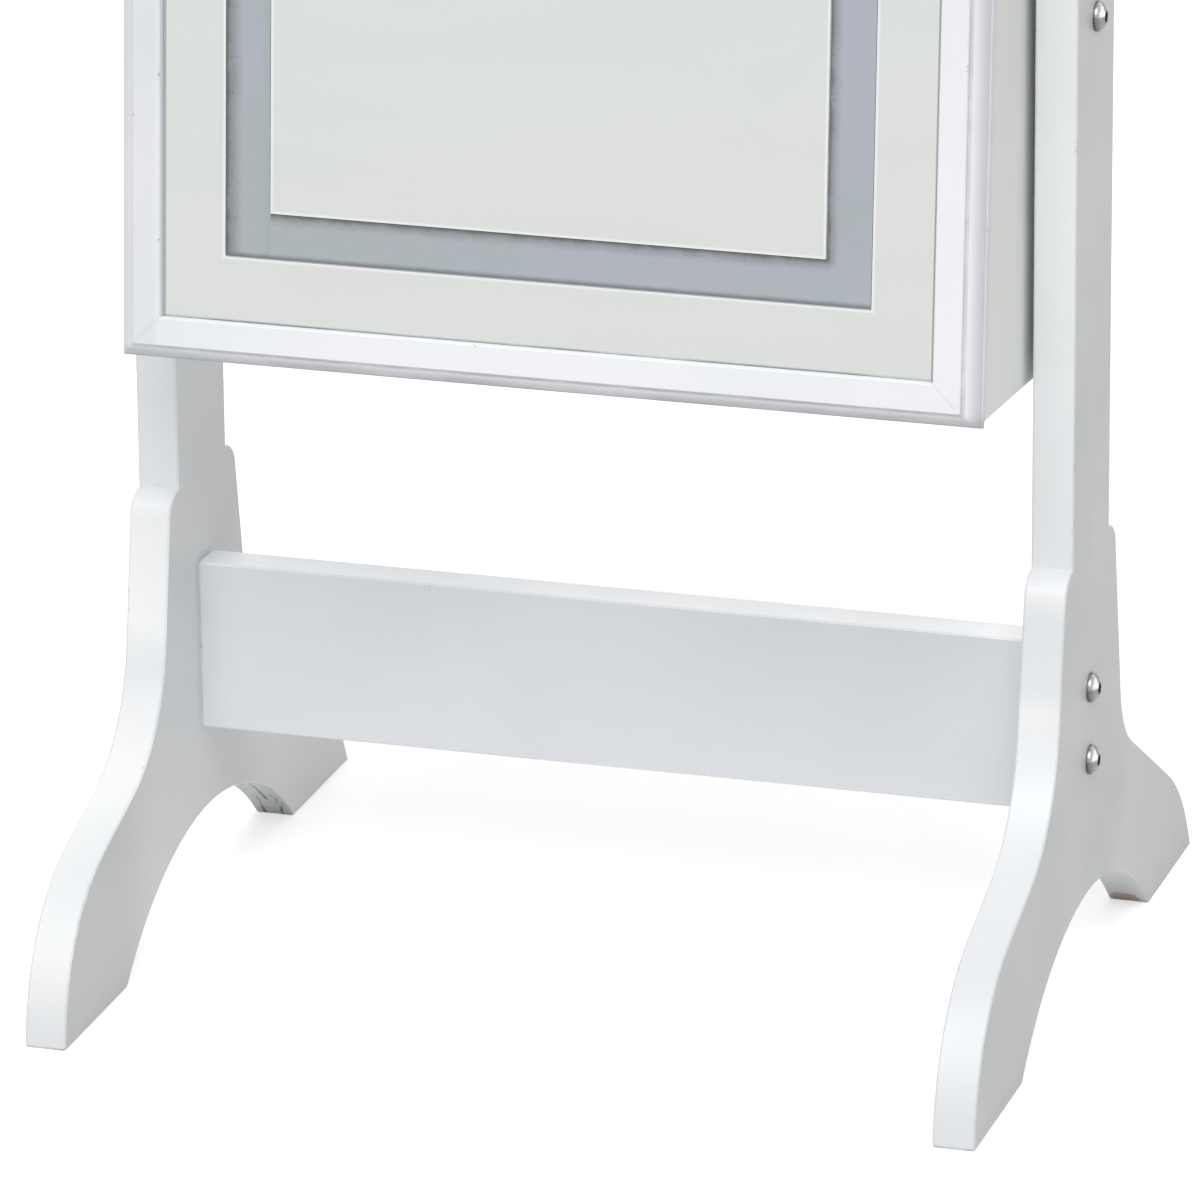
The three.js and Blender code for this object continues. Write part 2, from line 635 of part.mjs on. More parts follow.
// Lid with a row of grip ribs near its upper edge.
function batteryLidGeometry() {
  const half = LID_HALF - GAP;
  const top = LID_HIGH - GAP;
  const plate = board(-half, half, CASE_BACK - LID_THICK + GAP, CASE_BACK, LID_LOW + GAP, top, 0.4);
  const ribs = Array.from({ length: LID_RIB.count }, (_, i) => {
    const z = top - (i + 2) * LID_RIB.pitch;
    const back = CASE_BACK + LID_RIB.out;
    return block(-half / 3, half / 3, CASE_BACK - OVER, back, z, z + LID_RIB.high);
  });
  return join([plate, ...ribs]);
}

function buttonGeometry() {
  const profile = [
    [0, 0],
    [BUTTON_RADIUS, 0],
    [BUTTON_RADIUS, BUTTON_LENGTH - 1],
    [BUTTON_RADIUS - 0.8, BUTTON_LENGTH - 0.3],
    [0, BUTTON_LENGTH],
  ];
  return turnedX(profile, 20).rotateZ(QUARTER);
}

const buttonPlace = [0, CASE_BACK - BUTTON_WELL + BUTTON_ROOM, BUTTON_HEIGHT];
piece(door, 'battery_case', batteryCaseGeometry(), plastic);
piece(door, 'battery_lid', batteryLidGeometry(), plastic);
piece(door, 'light_button', buttonGeometry(), chrome, buttonPlace);

// ---------- cabinet box ----------
const SLEEVE_LENGTH = BOX_BOARD - 2 * GAP;

function sideBoardGeometry(side) {
  const x0 = side > 0 ? INNER_HALF : -BOX_HALF;
  const body = board(x0, x0 + BOX_BOARD, BOX_FRONT, BOX_BACK, BOX_LOW, BOX_HIGH);
  const through = (radius, depth, height) =>
    rodX(radius, x0 - OVER, x0 + BOX_BOARD + OVER, 20).translate(0, depth, height);
  const tools = [through(SLEEVE_RADIUS + GAP, pivot.depth, pivot.height)];
  if (side > 0) tools.push(through(LOCK_RADIUS + GAP, LOCK_DEPTH, LOCK_HEIGHT));
  if (side < 0) tools.push(...leafPockets(true));
  return cut(body, tools);
}

const acrossHalf = INNER_HALF - GAP;
piece(cabinet, 'cabinet_side_left', sideBoardGeometry(-1), sideFoil);
piece(cabinet, 'cabinet_side_right', sideBoardGeometry(1), sideFoil);
const crossBoard = (z0) => board(-acrossHalf, acrossHalf, BOX_FRONT, INNER_BACK, z0, z0 + BOX_BOARD);
piece(cabinet, 'cabinet_bottom', crossBoard(BOX_LOW), whitePaint);
piece(cabinet, 'cabinet_top', crossBoard(BOX_HIGH - BOX_BOARD), whitePaint);
const PANEL_BACK = BACK_FRONT + BACK_PANEL;
const backPanel = board(-acrossHalf, acrossHalf, BACK_FRONT, PANEL_BACK, BOX_LOW, BOX_HIGH, GAP);
piece(cabinet, 'cabinet_back', backPanel, whitePaint);

for (const [sideName, side] of SIDES) {
  const sleeve = sleeveX(SLEEVE_RADIUS, BOLT_RADIUS + GAP, GAP, GAP + SLEEVE_LENGTH);
  const place = [side * INNER_HALF, pivot.depth, pivot.height];
  piece(cabinet, `pivot_sleeve_${sideName}`, sleeve, brass, place, facing(side));
}

// ---------- cabinet: shelves and holders ----------
// Shelf section with a raised front lip, its edges eased.
function shelfGeometry() {
  const ease = 1;
  const lipBack = SHELF_FRONT + SHELF_LIP_THICK;
  const lipTop = SHELF_THICK + SHELF_LIP;
  const section = shapeOf([
    [SHELF_FRONT + ease, 0],
    [INNER_BACK, 0],
    [INNER_BACK, SHELF_THICK],
    [lipBack, SHELF_THICK],
    [lipBack, lipTop - ease],
    [lipBack - ease, lipTop],
    [SHELF_FRONT + ease, lipTop],
    [SHELF_FRONT, lipTop - ease],
    [SHELF_FRONT, ease],
  ]);
  return layAcross(straightExtrude(section, 2 * acrossHalf));
}

SHELF_HEIGHTS.forEach((height, i) => {
  piece(cabinet, `shelf_${LEVELS[i]}`, shelfGeometry(), whitePaint, [-acrossHalf, 0, height]);
});

// Ring pad: rolls that run across, one above the other, on a flat back.
function ringPadGeometry() {
  const crown = RING_PITCH / 2;
  const turn = QUARTER * 0.96;
  const outline = [new THREE.Vector2(0, 0), new THREE.Vector2(0, RING_ROLLS * RING_PITCH)];
  for (let i = RING_ROLLS - 1; i >= 0; i -= 1) {
    const middle = (i + 0.5) * RING_PITCH;
    outline.push(...arcPoints(crown - RING_PAD_DEEP, middle, crown, turn, 2 * Math.PI - turn, 9));
  }
  const half = acrossHalf - RING_PAD_INSET;
  return layAcross(easedExtrude(new THREE.Shape(outline), 2 * half, 2)).translate(-half, 0, 0);
}
const padLow = SHELF_HEIGHTS[1] + SHELF_THICK + GAP;
piece(cabinet, 'ring_pad', ringPadGeometry(), velvet, [0, INNER_BACK, padLow]);

// Earring bar: a thin strip on edge, notched along its top.
function earringBarGeometry() {
  const { high, thick, notches, notchHalf, notchDeep } = EARRING_BAR;
  const pitch = (2 * acrossHalf) / (notches + 1);
  const outline = [[-acrossHalf, 0], [acrossHalf, 0], [acrossHalf, high]];
  for (let i = notches; i >= 1; i -= 1) {
    const x = i * pitch - acrossHalf;
    outline.push([x + notchHalf, high], [x, high - notchDeep], [x - notchHalf, high]);
  }
  outline.push([-acrossHalf, high]);
  return straightExtrude(shapeOf(outline), thick).rotateX(QUARTER);
}

EARRING_HEIGHTS.forEach((height, i) => {
  piece(cabinet, `earring_bar_${LEVELS[i]}`, earringBarGeometry(), plastic, [0, EARRING_DEPTH, height]);
});

// Bracelet rod with a collar at each end that tapers into it.
function braceletRodGeometry() {
  const inner = acrossHalf - COLLAR_LENGTH;
  const taper = inner - COLLAR_LENGTH / 2;
  return turnedX([
    [0, -acrossHalf],
    [COLLAR_RADIUS, -acrossHalf],
    [COLLAR_RADIUS, -inner],
    [ROD_RADIUS, -taper],
    [ROD_RADIUS, taper],
    [COLLAR_RADIUS, inner],
    [COLLAR_RADIUS, acrossHalf],
    [0, acrossHalf],
  ]);
}
piece(cabinet, 'bracelet_rod', braceletRodGeometry(), chrome, [0, ROD_DEPTH, ROD_HEIGHT]);

// Necklace rail: a strip on the back panel with turned pegs that point forwards and slightly up.
function necklaceRailGeometry() {
  const front = INNER_BACK - PEG_RAIL_THICK;
  const strip = board(-acrossHalf, acrossHalf, front, INNER_BACK, 0, PEG_RAIL_HIGH, 1.2);
  const ball = arcPoints(0, 0, PEG.ball, degrees(-32), degrees(60), 3)
    .map(({ x, y }) => [x, PEG.length + y]);
  const root = -PEG_RAIL_THICK / 3;
  const profile = [[0, root], [PEG.radius, root], [PEG.radius, PEG.length - PEG.ball], ...ball];
  profile.push([0, PEG.length + PEG.ball]);
  const pegs = Array.from({ length: PEG_COUNT }, (_, i) => {
    const x = ((i + 0.5) / PEG_COUNT - 0.5) * 2 * acrossHalf;
    const peg = turnedX(profile, 10).rotateZ(-QUARTER).rotateX(-PEG.rise);
    return peg.translate(x, front, PEG_RAIL_HIGH / 2);
  });
  return join([strip, ...pegs]);
}
piece(cabinet, 'necklace_rail', necklaceRailGeometry(), whitePaint, [0, 0, PEG_RAIL_LOW]);

// ---------- lock, its hook cam and keeper ----------
// Barrel with its outer flange and the hexagon nut that draws it to the board.
function lockBarrelGeometry() {
  const seat = BOX_HALF + GAP;
  const face = seat + LOCK_FLANGE.thick;
  const tube = rodX(LOCK_RADIUS, LOCK_INNER, BOX_HALF + OVER, 24);
  const flange = turnedX([
    [0, seat],
    [LOCK_FLANGE.radius, seat],
    [LOCK_FLANGE.radius, face - LOCK_FLANGE.ease],
    [LOCK_FLANGE.radius - LOCK_FLANGE.ease, face],
    [0, face],
  ], 24);
  const nut = rodX(LOCK_NUT.radius, INNER_HALF - GAP - LOCK_NUT.thick, INNER_HALF - GAP, 6);
  const bore = rodX(PLUG_RADIUS + GAP, LOCK_INNER - OVER, face + OVER, 20);
  return cut(join([tube, flange, nut]), [bore]);
}

// Plug with a keyhole slot, and the stud and head that hold the cam at its inner end.
function lockPlugGeometry() {
  const outer = BOX_HALF + LOCK_FLANGE.thick + 2 * GAP;
  const neck = CAM_X + CAM.thick + GAP;
  const head = CAM_X - GAP;
  const plug = turnedX([
    [0, head - PLUG_HEAD],
    [PLUG_RADIUS, head - PLUG_HEAD],
    [PLUG_RADIUS, head],
    [PLUG_STUD, head],
    [PLUG_STUD, neck],
    [PLUG_RADIUS, neck],
    [PLUG_RADIUS, outer],
    [0, outer],
  ]);
  const wide = KEYHOLE.wide / 2;
  return cut(plug, [block(outer - KEYHOLE.deep, outer + OVER, -wide, wide, -KEYHOLE.half, KEYHOLE.half)]);
}

// Hook cam, drawn hanging: arm down, hook forwards at its tip.
function hookCamGeometry() {
  const { eye, armHalf, reach, hook, hookHigh } = CAM;
  const tip = -armHalf - hook;
  const corners = [
    [-armHalf, hookHigh + 1 - reach],
    [tip, hookHigh - reach],
    [tip, 1 - reach],
    [tip + 1, -reach],
    [armHalf - 1, -reach],
    [armHalf, 1 - reach],
  ].map(([x, y]) => new THREE.Vector2(x, y));
  const shape = new THREE.Shape([...arcPoints(0, 0, eye, degrees(-63), degrees(243), 16), ...corners]);
  const hole = new THREE.Path();
  hole.absarc(0, 0, PLUG_STUD + GAP, 0, 2 * Math.PI, false);
  shape.holes.push(hole);
  return layAcross(straightExtrude(shape, CAM.thick));
}

// Keeper on the door's back: a bent strip whose lip turns down in front of the cam's hook.
function keeperGeometry() {
  const { thick, back, lip, plate } = KEEPER;
  const seat = DOOR_DEPTH + GAP;
  const arm = LOCK_HEIGHT + KEEPER.above;
  const section = shapeOf([
    [seat, arm],
    [back - thick, arm],
    [back - thick, arm - lip],
    [back, arm - lip],
    [back, arm + thick],
    [seat + thick, arm + thick],
    [seat + thick, arm + plate],
    [seat, arm + plate],
  ]);
  return layAcross(straightExtrude(section, KEEPER.wide));
}

piece(cabinet, 'lock_barrel', lockBarrelGeometry(), chrome, [0, LOCK_DEPTH, LOCK_HEIGHT]);
piece(cabinet, 'lock_plug', lockPlugGeometry(), chrome, [0, LOCK_DEPTH, LOCK_HEIGHT]);
piece(cabinet, 'lock_hook_cam', hookCamGeometry(), steel, [CAM_X, LOCK_DEPTH, LOCK_HEIGHT]);
piece(door, 'lock_keeper', keeperGeometry(), steel, [CAM_X - KEEPER.beside, 0, 0]);

// ---------- magnetic catch ----------
// A block beside the right side board, from one depth to another, about the catch's height.
function catchBlock(outer, y0, y1, half, ease) {
  return board(outer - CATCH_WIDTH, outer, y0, y1, CATCH_HEIGHT - half, CATCH_HEIGHT + half, ease);
}

const catchOuter = INNER_HALF - GAP;
const plateFront = DOOR_DEPTH + GAP;
const plateBack = plateFront + CATCH_PLATE.thick;
const catchPlate = catchBlock(catchOuter - CATCH_PLATE.clear, plateFront, plateBack, CATCH_PLATE.half, GAP);
const magnet = catchBlock(catchOuter, plateBack + GAP, plateBack + GAP + MAGNET.deep, MAGNET.half, 1);
piece(door, 'catch_plate', catchPlate, steel);
piece(cabinet, 'catch_magnet', magnet, iron);

export default group;
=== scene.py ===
"""Free-standing jewelry mirror cabinet: its finishes, fine pieces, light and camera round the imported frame.

Metres, +Z up, front towards -Y, floor at Z = 0. Pieces inside the cabinet are drawn in the leaning
cabinet's own axes: x across, y the depth behind the door's front face, z the height along the door.
"""

import math
import random

import bmesh
import bpy
from mathutils import Matrix, Vector


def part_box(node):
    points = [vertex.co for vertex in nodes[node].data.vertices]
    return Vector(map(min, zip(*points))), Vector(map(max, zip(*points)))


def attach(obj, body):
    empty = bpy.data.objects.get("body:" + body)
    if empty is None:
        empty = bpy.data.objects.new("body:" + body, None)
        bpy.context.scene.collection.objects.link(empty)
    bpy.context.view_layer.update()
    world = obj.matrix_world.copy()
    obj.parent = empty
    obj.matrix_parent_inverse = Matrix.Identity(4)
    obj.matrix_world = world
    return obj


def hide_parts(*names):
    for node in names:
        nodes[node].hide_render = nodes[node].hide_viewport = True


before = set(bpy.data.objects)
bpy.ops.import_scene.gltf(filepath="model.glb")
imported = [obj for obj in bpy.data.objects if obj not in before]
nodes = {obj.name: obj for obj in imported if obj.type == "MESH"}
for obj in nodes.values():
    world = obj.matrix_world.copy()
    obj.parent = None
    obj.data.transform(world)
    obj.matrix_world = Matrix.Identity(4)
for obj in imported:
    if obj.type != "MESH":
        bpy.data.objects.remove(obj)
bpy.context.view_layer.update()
MM = 0.001

# ---------- sizes shared with the frame ----------
LEAN = math.radians(4.26)
CABINET = Matrix.Translation((0, -0.1083, 0.280)) @ Matrix.Rotation(-LEAN, 4, "X")
DOOR_HALF = 0.1845
DOOR_HEIGHT = 1.190
FRAME_FACE = 0.0192
STEP_AT = 0.0072
BAND_INSET = 0.0465
BAND_WIDTH = 0.0195
LEG_INNER = 0.187
LEG_MIDDLE = 0.196
LEG_OUTER = 0.205
HEEL = 0.108
BOLT_HEAD_RADIUS = 0.0063
BOLT_HEAD_HEIGHT = 0.0042
HINGE_HEIGHTS = (0.200, 0.595, 0.990)
HINGE_SCREWS = -0.179          # across, with one screw this far above and below the hinge's middle
HINGE_SCREW_REACH = 0.012
LEAF_FACES = {"cabinet": 0.01165, "door": 0.01135}
SHELF_TOPS = {"lower": 0.223, "middle": 0.373, "upper": 0.523}
INNER_HALF = 0.1713
INNER_LOW = 0.013
INNER_HIGH = 1.177
INNER_BACK = 0.1184
LOCK_DEPTH = 0.034
LOCK_HEIGHT = 0.800
LOCK_CLEAR = 0.013
CARD_THICK = 0.0002
CARD_GAP = 0.00005
BEHIND_LIP = 0.0263            # where the cards start on the shelves, and on the top and bottom boards
BEHIND_DOOR = 0.014
SCREW = (0.0019, 0.00005, 0.00125)    # radius, rise and the reach of the cross recess
BRAD = (0.0016, 0.00028, 0)
CROSS_DEEP = 0.00045
KEEPER_SCREWS = ((0.1566, 0.0129, 0.8155), (0.1566, 0.0129, 0.8255))
CATCH_SCREWS = ((0.164, 0.0125, 0.607), (0.164, 0.0125, 0.633))
PANEL_BACK = 0.1217
BRAD_HEIGHTS = (0.007, 0.219, 0.369, 0.519, 1.183)
BRAD_ACROSS = (-0.150, -0.075, 0.0, 0.075, 0.150)
MITRE_GAP = 0.00021
STRETCHER_GAP = 0.0003
FILLER_FROM = 0.05             # shares of the gap: where its filler starts and how thick it is
FILLER_THICK = 0.9

# ---------- ring pad ----------
PAD_HALF = 0.159
PAD_LOW = 0.3733
PAD_DEPTH = 0.107              # the middle of the rolls
ROLLS = 8
ROLL_PITCH = 0.015
ROLL_DEEP = 0.0104             # half a roll's section
ROLL_HIGH = 0.0071
ROLL_END = 0.0055              # length of its gathered end
ROLL_AROUND = 20
ROLL_STATIONS = 40
ROLL_END_ANGLES = (24, 46, 64, 79)
ROLL_SQUARENESS = 0.8          # 1 is an ellipse, less is squarer
ROLL_ROOM = (0.0962, 0.1176)   # the depths that a roll stays between
PUFF_FRAMES = 20
PUFF_CAP = 0.0012

# ---------- camera ----------
CAMERA_PLACE = Vector((1.0810, -3.4720, 1.4233))
CAMERA_YAW = 0.30427
CAMERA_PITCH = 0.33542
CAMERA_ROLL = 0.00917
CAMERA_REACH = 60.0
SENSOR = 36.0
LENS = 272.8

# ---------- wear and painted shade of the side boards and the stretcher ---
# knocks under the arch of the left back foot: both ends (across, height), half the width and the weight
SCUFFS = (
    ((-0.1932, 0.0290), (-0.1950, 0.0205), 0.9 * MM, 0.8),
    ((-0.1950, 0.0205), (-0.1952, 0.0122), 1.2 * MM, 1.0),
    ((-0.1990, 0.0125), (-0.2002, 0.0050), 0.8 * MM, 0.6),
    ((-0.2002, 0.0050), (-0.2000, 0.0000), 1.2 * MM, 1.0),
    ((-0.1912, 0.0155), (-0.1902, 0.0128), 0.9 * MM, 0.5),
    ((-0.1902, 0.0128), (-0.1915, 0.0092), 1.0 * MM, 0.7),
    ((-0.1890, 0.0095), (-0.1912, 0.0050), 0.8 * MM, 0.5),
    ((-0.1912, 0.0050), (-0.1924, 0.0000), 1.2 * MM, 1.0),
    ((-0.1970, 0.0300), (-0.1995, 0.0250), 1.5 * MM, 0.4),
)
# heights of the painted shade on the side boards: over the posts, at the right neck and at the left shin
SHOULDER = 0.200
NECK_AT = 0.165
SHIN_AT = 0.114
# painted shade along the stretcher's top edge
STRETCHER_SHADE = (-0.10, 0.08)    # its top edge is greyer to the left, between these places across

# ---------- light ----------
# each sun's strength, the direction that it comes from and its softness
SUNS = {
    "key": (1.90, Vector((0.12, -1.0, 1.25)), math.radians(40)),
    "back": (0.65, Vector((0.0, 1.0, 0.80)), math.radians(50)),
}
SKY_LEVEL = 0.38
FLOOR_REACH = 14.0
FLOOR_SEEN = 0.52              # the floor's own light, as the camera sees it
FLOOR_MIRRORED = 0.30          # and as the mirror and the glass see it


def tone(red, green, blue):
    """A colour given as the 0 to 255 numbers of a picture, in the shader's linear values."""
    def linear(value):
        share = value / 255
        return share / 12.92 if share <= 0.04045 else ((share + 0.055) / 1.055) ** 2.4
    return (linear(red), linear(green), linear(blue), 1.0)


# ---------- material building ----------
class Finish:
    """One procedural material: a Principled shader and short calls for the nodes that feed it."""

    def __init__(self, name, colour, roughness=0.5, metallic=0.0, **sockets):
        self.material = bpy.data.materials.new(name)
        self.material.use_nodes = True
        self.tree = self.material.node_tree
        self.shader = next(n for n in self.tree.nodes if n.type == "BSDF_PRINCIPLED")
        coordinates = self.add("TexCoord")
        self.place = coordinates.outputs["Object"]
        self.facing = coordinates.outputs["Normal"]
        self.set("Base Color", colour)
        self.set("Roughness", roughness)
        self.set("Metallic", metallic)
        for socket, value in sockets.items():
            self.set(socket.replace("_", " "), value)

    def add(self, kind, inputs=None, **settings):
        node = self.tree.nodes.new("ShaderNode" + kind)
        for key, value in settings.items():
            setattr(node, key, value)
        for key, value in (inputs or {}).items():
            self.feed(node.inputs[key], value)
        return node

    def feed(self, socket, value):
        if isinstance(value, bpy.types.NodeSocket):
            self.tree.links.new(value, socket)
        else:
            socket.default_value = value

    def set(self, name, value):
        self.feed(self.shader.inputs[name], value)

    def math(self, operation, a, b=0.0, clamp=False):
        return self.add("Math", {0: a, 1: b}, operation=operation, use_clamp=clamp).outputs[0]

    def plus(self, a, b):
        return self.math("ADD", a, b)

    def minus(self, a, b):
        return self.math("SUBTRACT", a, b)

    def times(self, a, b):
        return self.math("MULTIPLY", a, b)

    def most(self, a, b):
        return self.math("MAXIMUM", a, b)

    def least(self, a, b):
        return self.math("MINIMUM", a, b)

    def size(self, a):
        return self.math("ABSOLUTE", a)

    def below(self, a, b):
        return self.math("LESS_THAN", a, b)

    def hypot(self, a, b):
        squares = self.plus(self.math("POWER", a, 2.0), self.math("POWER", b, 2.0))
        return self.math("SQRT", squares)

    def vector(self, operation, a, b=(0, 0, 0)):
        node = self.add("VectorMath", {0: a, 1: b}, operation=operation)
        return node.outputs["Value" if operation in ("LENGTH", "DOT_PRODUCT") else "Vector"]

    def noise(self, scale, detail=2.0, roughness=0.5, at=None, stretch=None, distortion=0.0):
        place = at or self.place
        if stretch:
            place = self.vector("MULTIPLY", place, stretch)
        inputs = {
            "Vector": place, "Scale": scale, "Detail": detail,
            "Roughness": roughness, "Distortion": distortion,
        }
        return self.add("TexNoise", inputs).outputs["Fac"]

    def step(self, value, low, high, to_low=0.0, to_high=1.0):
        """Rises smoothly from to_low at low to to_high at high."""
        inputs = {"Value": value, "From Min": low, "From Max": high, "To Min": to_low, "To Max": to_high}
        return self.add("MapRange", inputs, interpolation_type="SMOOTHSTEP").outputs["Result"]

    def ridge(self, value, middle, near, far, share):
        """The given share within near of the middle, fading to 0 at far."""
        return self.step(self.size(self.minus(value, middle)), near, far, share, 0.0)

    def blend(self, share, a, b, kind="MIX"):
        node = self.add("Mix", data_type="RGBA", blend_type=kind)
        self.feed(node.inputs[0], share)
        self.feed(node.inputs[6], a)
        self.feed(node.inputs[7], b)
        return node.outputs[2]

    def tint(self, share, base, colour):
        return self.blend(share, base, colour, "MULTIPLY")

    def bump(self, height, distance, strength=1.0, after=None):
        inputs = {"Height": height, "Distance": distance, "Strength": strength}
        if after:
            inputs["Normal"] = after
        return self.add("Bump", inputs).outputs["Normal"]

    def arris(self, radius, samples=4):
        """0 on flat faces, rising towards 1 along edges."""
        rounded = self.add("Bevel", {"Radius": radius}, samples=samples).outputs["Normal"]
        straight = self.add("NewGeometry").outputs["Normal"]
        return self.minus(1.0, self.vector("DOT_PRODUCT", rounded, straight))

    def stroke(self, u, v, start, end, half):
        """1 along a line between two points of the (u, v) plane, fading to 0 at half its width."""
        du, dv = (end[0] - start[0], end[1] - start[1])
        length = math.hypot(du, dv)
        du, dv = (du / length, dv / length)
        pu = self.minus(u, start[0])
        pv = self.minus(v, start[1])
        along = self.plus(self.times(pu, du), self.times(pv, dv))
        aside = self.minus(self.times(pv, du), self.times(pu, dv))
        past = self.most(self.minus(along, length), self.times(along, -1.0))
        past = self.most(past, 0.0)
        return self.step(self.hypot(aside, past), half * 0.3, half, 1.0, 0.0)

    def split(self, vector):
        node = self.add("SeparateXYZ", {0: vector})
        return node.outputs[0], node.outputs[1], node.outputs[2]

    def in_cabinet(self):
        """Object coordinates of a frame node turned into the leaning cabinet's own axes."""
        moved = self.vector("SUBTRACT", self.place, tuple(CABINET.translation))
        inputs = {"Vector": moved, "Rotation": (LEAN, 0, 0)}
        return self.add("Mapping", inputs, vector_type="POINT").outputs["Vector"]


# ---------- paint ----------
def painted(name, broad, worn, chip, narrow=None, flat=None, cloud=1.0):
    """Lacquered fibreboard: a faint orange peel, hazy patches, rubbed arrises and small chips.

    Where flat names an axis, the faces square to it take the broad tone, the machined ones the narrow one, as
    painted light.
    """
    paint = Finish(name, broad, Coat_Weight=0.10, Coat_Roughness=0.22)
    colour = broad
    if flat is not None:
        square = paint.size(paint.split(paint.facing)[flat])
        paint.machined = paint.step(square, 0.90, 0.98, 1.0, 0.0)
        colour = paint.blend(paint.machined, broad, narrow)
    haze = paint.step(paint.noise(4.5, 4, 0.55), 0.3, 0.75)
    base = paint.tint(paint.times(haze, 0.5 * cloud), colour, tone(229, 231, 236))
    green = paint.step(paint.noise(9, 3, 0.5, distortion=0.4), 0.48, 0.72)
    base = paint.tint(paint.times(green, 0.35 * cloud), base, tone(248, 255, 253))

    paint.edge = paint.arris(1.1 * MM)
    rubbed = paint.times(paint.step(paint.edge, 0.02, 0.16), paint.step(paint.noise(70, 4), 0.35, 0.62))
    base = paint.blend(paint.times(rubbed, 0.5), base, worn)
    specks = paint.step(paint.noise(160, 3, 0.6), 0.66, 0.70)
    chips = paint.times(paint.step(paint.edge, 0.01, 0.03), specks)
    paint.base = paint.blend(paint.times(chips, 0.8), base, chip)
    paint.set("Base Color", paint.base)

    paint.set("Roughness", paint.step(paint.noise(22, 4, 0.6), 0.25, 0.8, 0.34, 0.48))
    peel = paint.bump(paint.noise(650, 2), 0.03 * MM, 0.35)
    peel = paint.bump(paint.noise(45, 3), 0.12 * MM, 0.35, peel)
    paint.set("Normal", paint.bump(paint.times(chips, -1.0), 0.25 * MM, 0.8, peel))
    return paint


def white_paint():
    """The cabinet's boards, the shelves and the backing, which hardly show any haze."""
    return painted(
        "white_paint", tone(236, 238, 240), tone(206, 208, 212), tone(150, 150, 154), cloud=0.3).material


def mitre_paint():
    """The filled mitres, a little greyer than the frame beside them."""
    return painted("mitre_paint", tone(226, 227, 232), tone(214, 214, 220), tone(180, 180, 186)).material


def stretcher_paint():
    """The stretcher with painted light: broad faces greyer than its lighter top edge, which has painted shade
    to the left.
    """
    # painted light: the top, underside and end faces take the lighter narrow tone
    paint = painted(
        "stretcher_paint", tone(231, 233, 237), tone(252, 253, 254), tone(168, 169, 172),
        narrow=tone(251, 252, 253), flat=1)
    x, y, z = paint.split(paint.place)
    shaded = paint.times(paint.step(x, *STRETCHER_SHADE, 1.0, 0.0), paint.machined)
    paint.set("Base Color", paint.tint(shaded, paint.base, tone(243, 244, 245)))
    return paint.material


def frame_paint():
    """The door frame: bright paint with painted shade on the bead, the step, the hinge stile and along the
    bottom edge.
    """
    paint = painted("frame_paint", tone(245, 246, 250), tone(216, 216, 223), tone(148, 148, 156))
    x, y, h = paint.split(paint.in_cabinet())
    beside = paint.minus(DOOR_HALF, paint.size(x))
    from_middle = paint.size(paint.minus(h, DOOR_HEIGHT / 2))
    edge = paint.least(beside, paint.minus(DOOR_HEIGHT / 2, from_middle))

    # painted shade: the hinge stile a little greyer all over; it is evenly lit, so its painted shade on bead
    # and step is marked less
    on_left = paint.step(x, -DOOR_HALF + FRAME_FACE - 3.2 * MM, -DOOR_HALF + FRAME_FACE, 1.0, 0.0)
    base = paint.tint(on_left, paint.base, tone(247, 247, 248))
    marked = paint.minus(1.0, paint.times(on_left, 0.7))
    # painted shade on the bead, darker still in the groove at the step
    bead = paint.times(paint.step(edge, 1.0 * MM, STEP_AT, 0.55, 0.0), marked)
    base = paint.tint(bead, base, tone(222, 222, 228))
    uneven = paint.step(paint.noise(55, 3, 0.6), 0.3, 0.65, 0.45, 1.0)
    groove = paint.times(paint.ridge(edge, STEP_AT - 0.6 * MM, 0.5 * MM, 1.1 * MM, 0.75), uneven)
    base = paint.blend(paint.times(groove, marked), base, tone(196, 198, 205))

    # painted shade along the door's bottom edge, in blotches
    bottom_shade = paint.step(h, 1.0 * MM, 8.0 * MM, 1.0, 0.0)
    bottom_blotches = paint.step(paint.noise(60, 3, 0.6, stretch=(0.35, 1, 1)), 0.35, 0.65, 0.45, 1.0)
    paint.set("Base Color", paint.blend(paint.times(bottom_shade, bottom_blotches), base, tone(190, 190, 193)))
    return paint.material


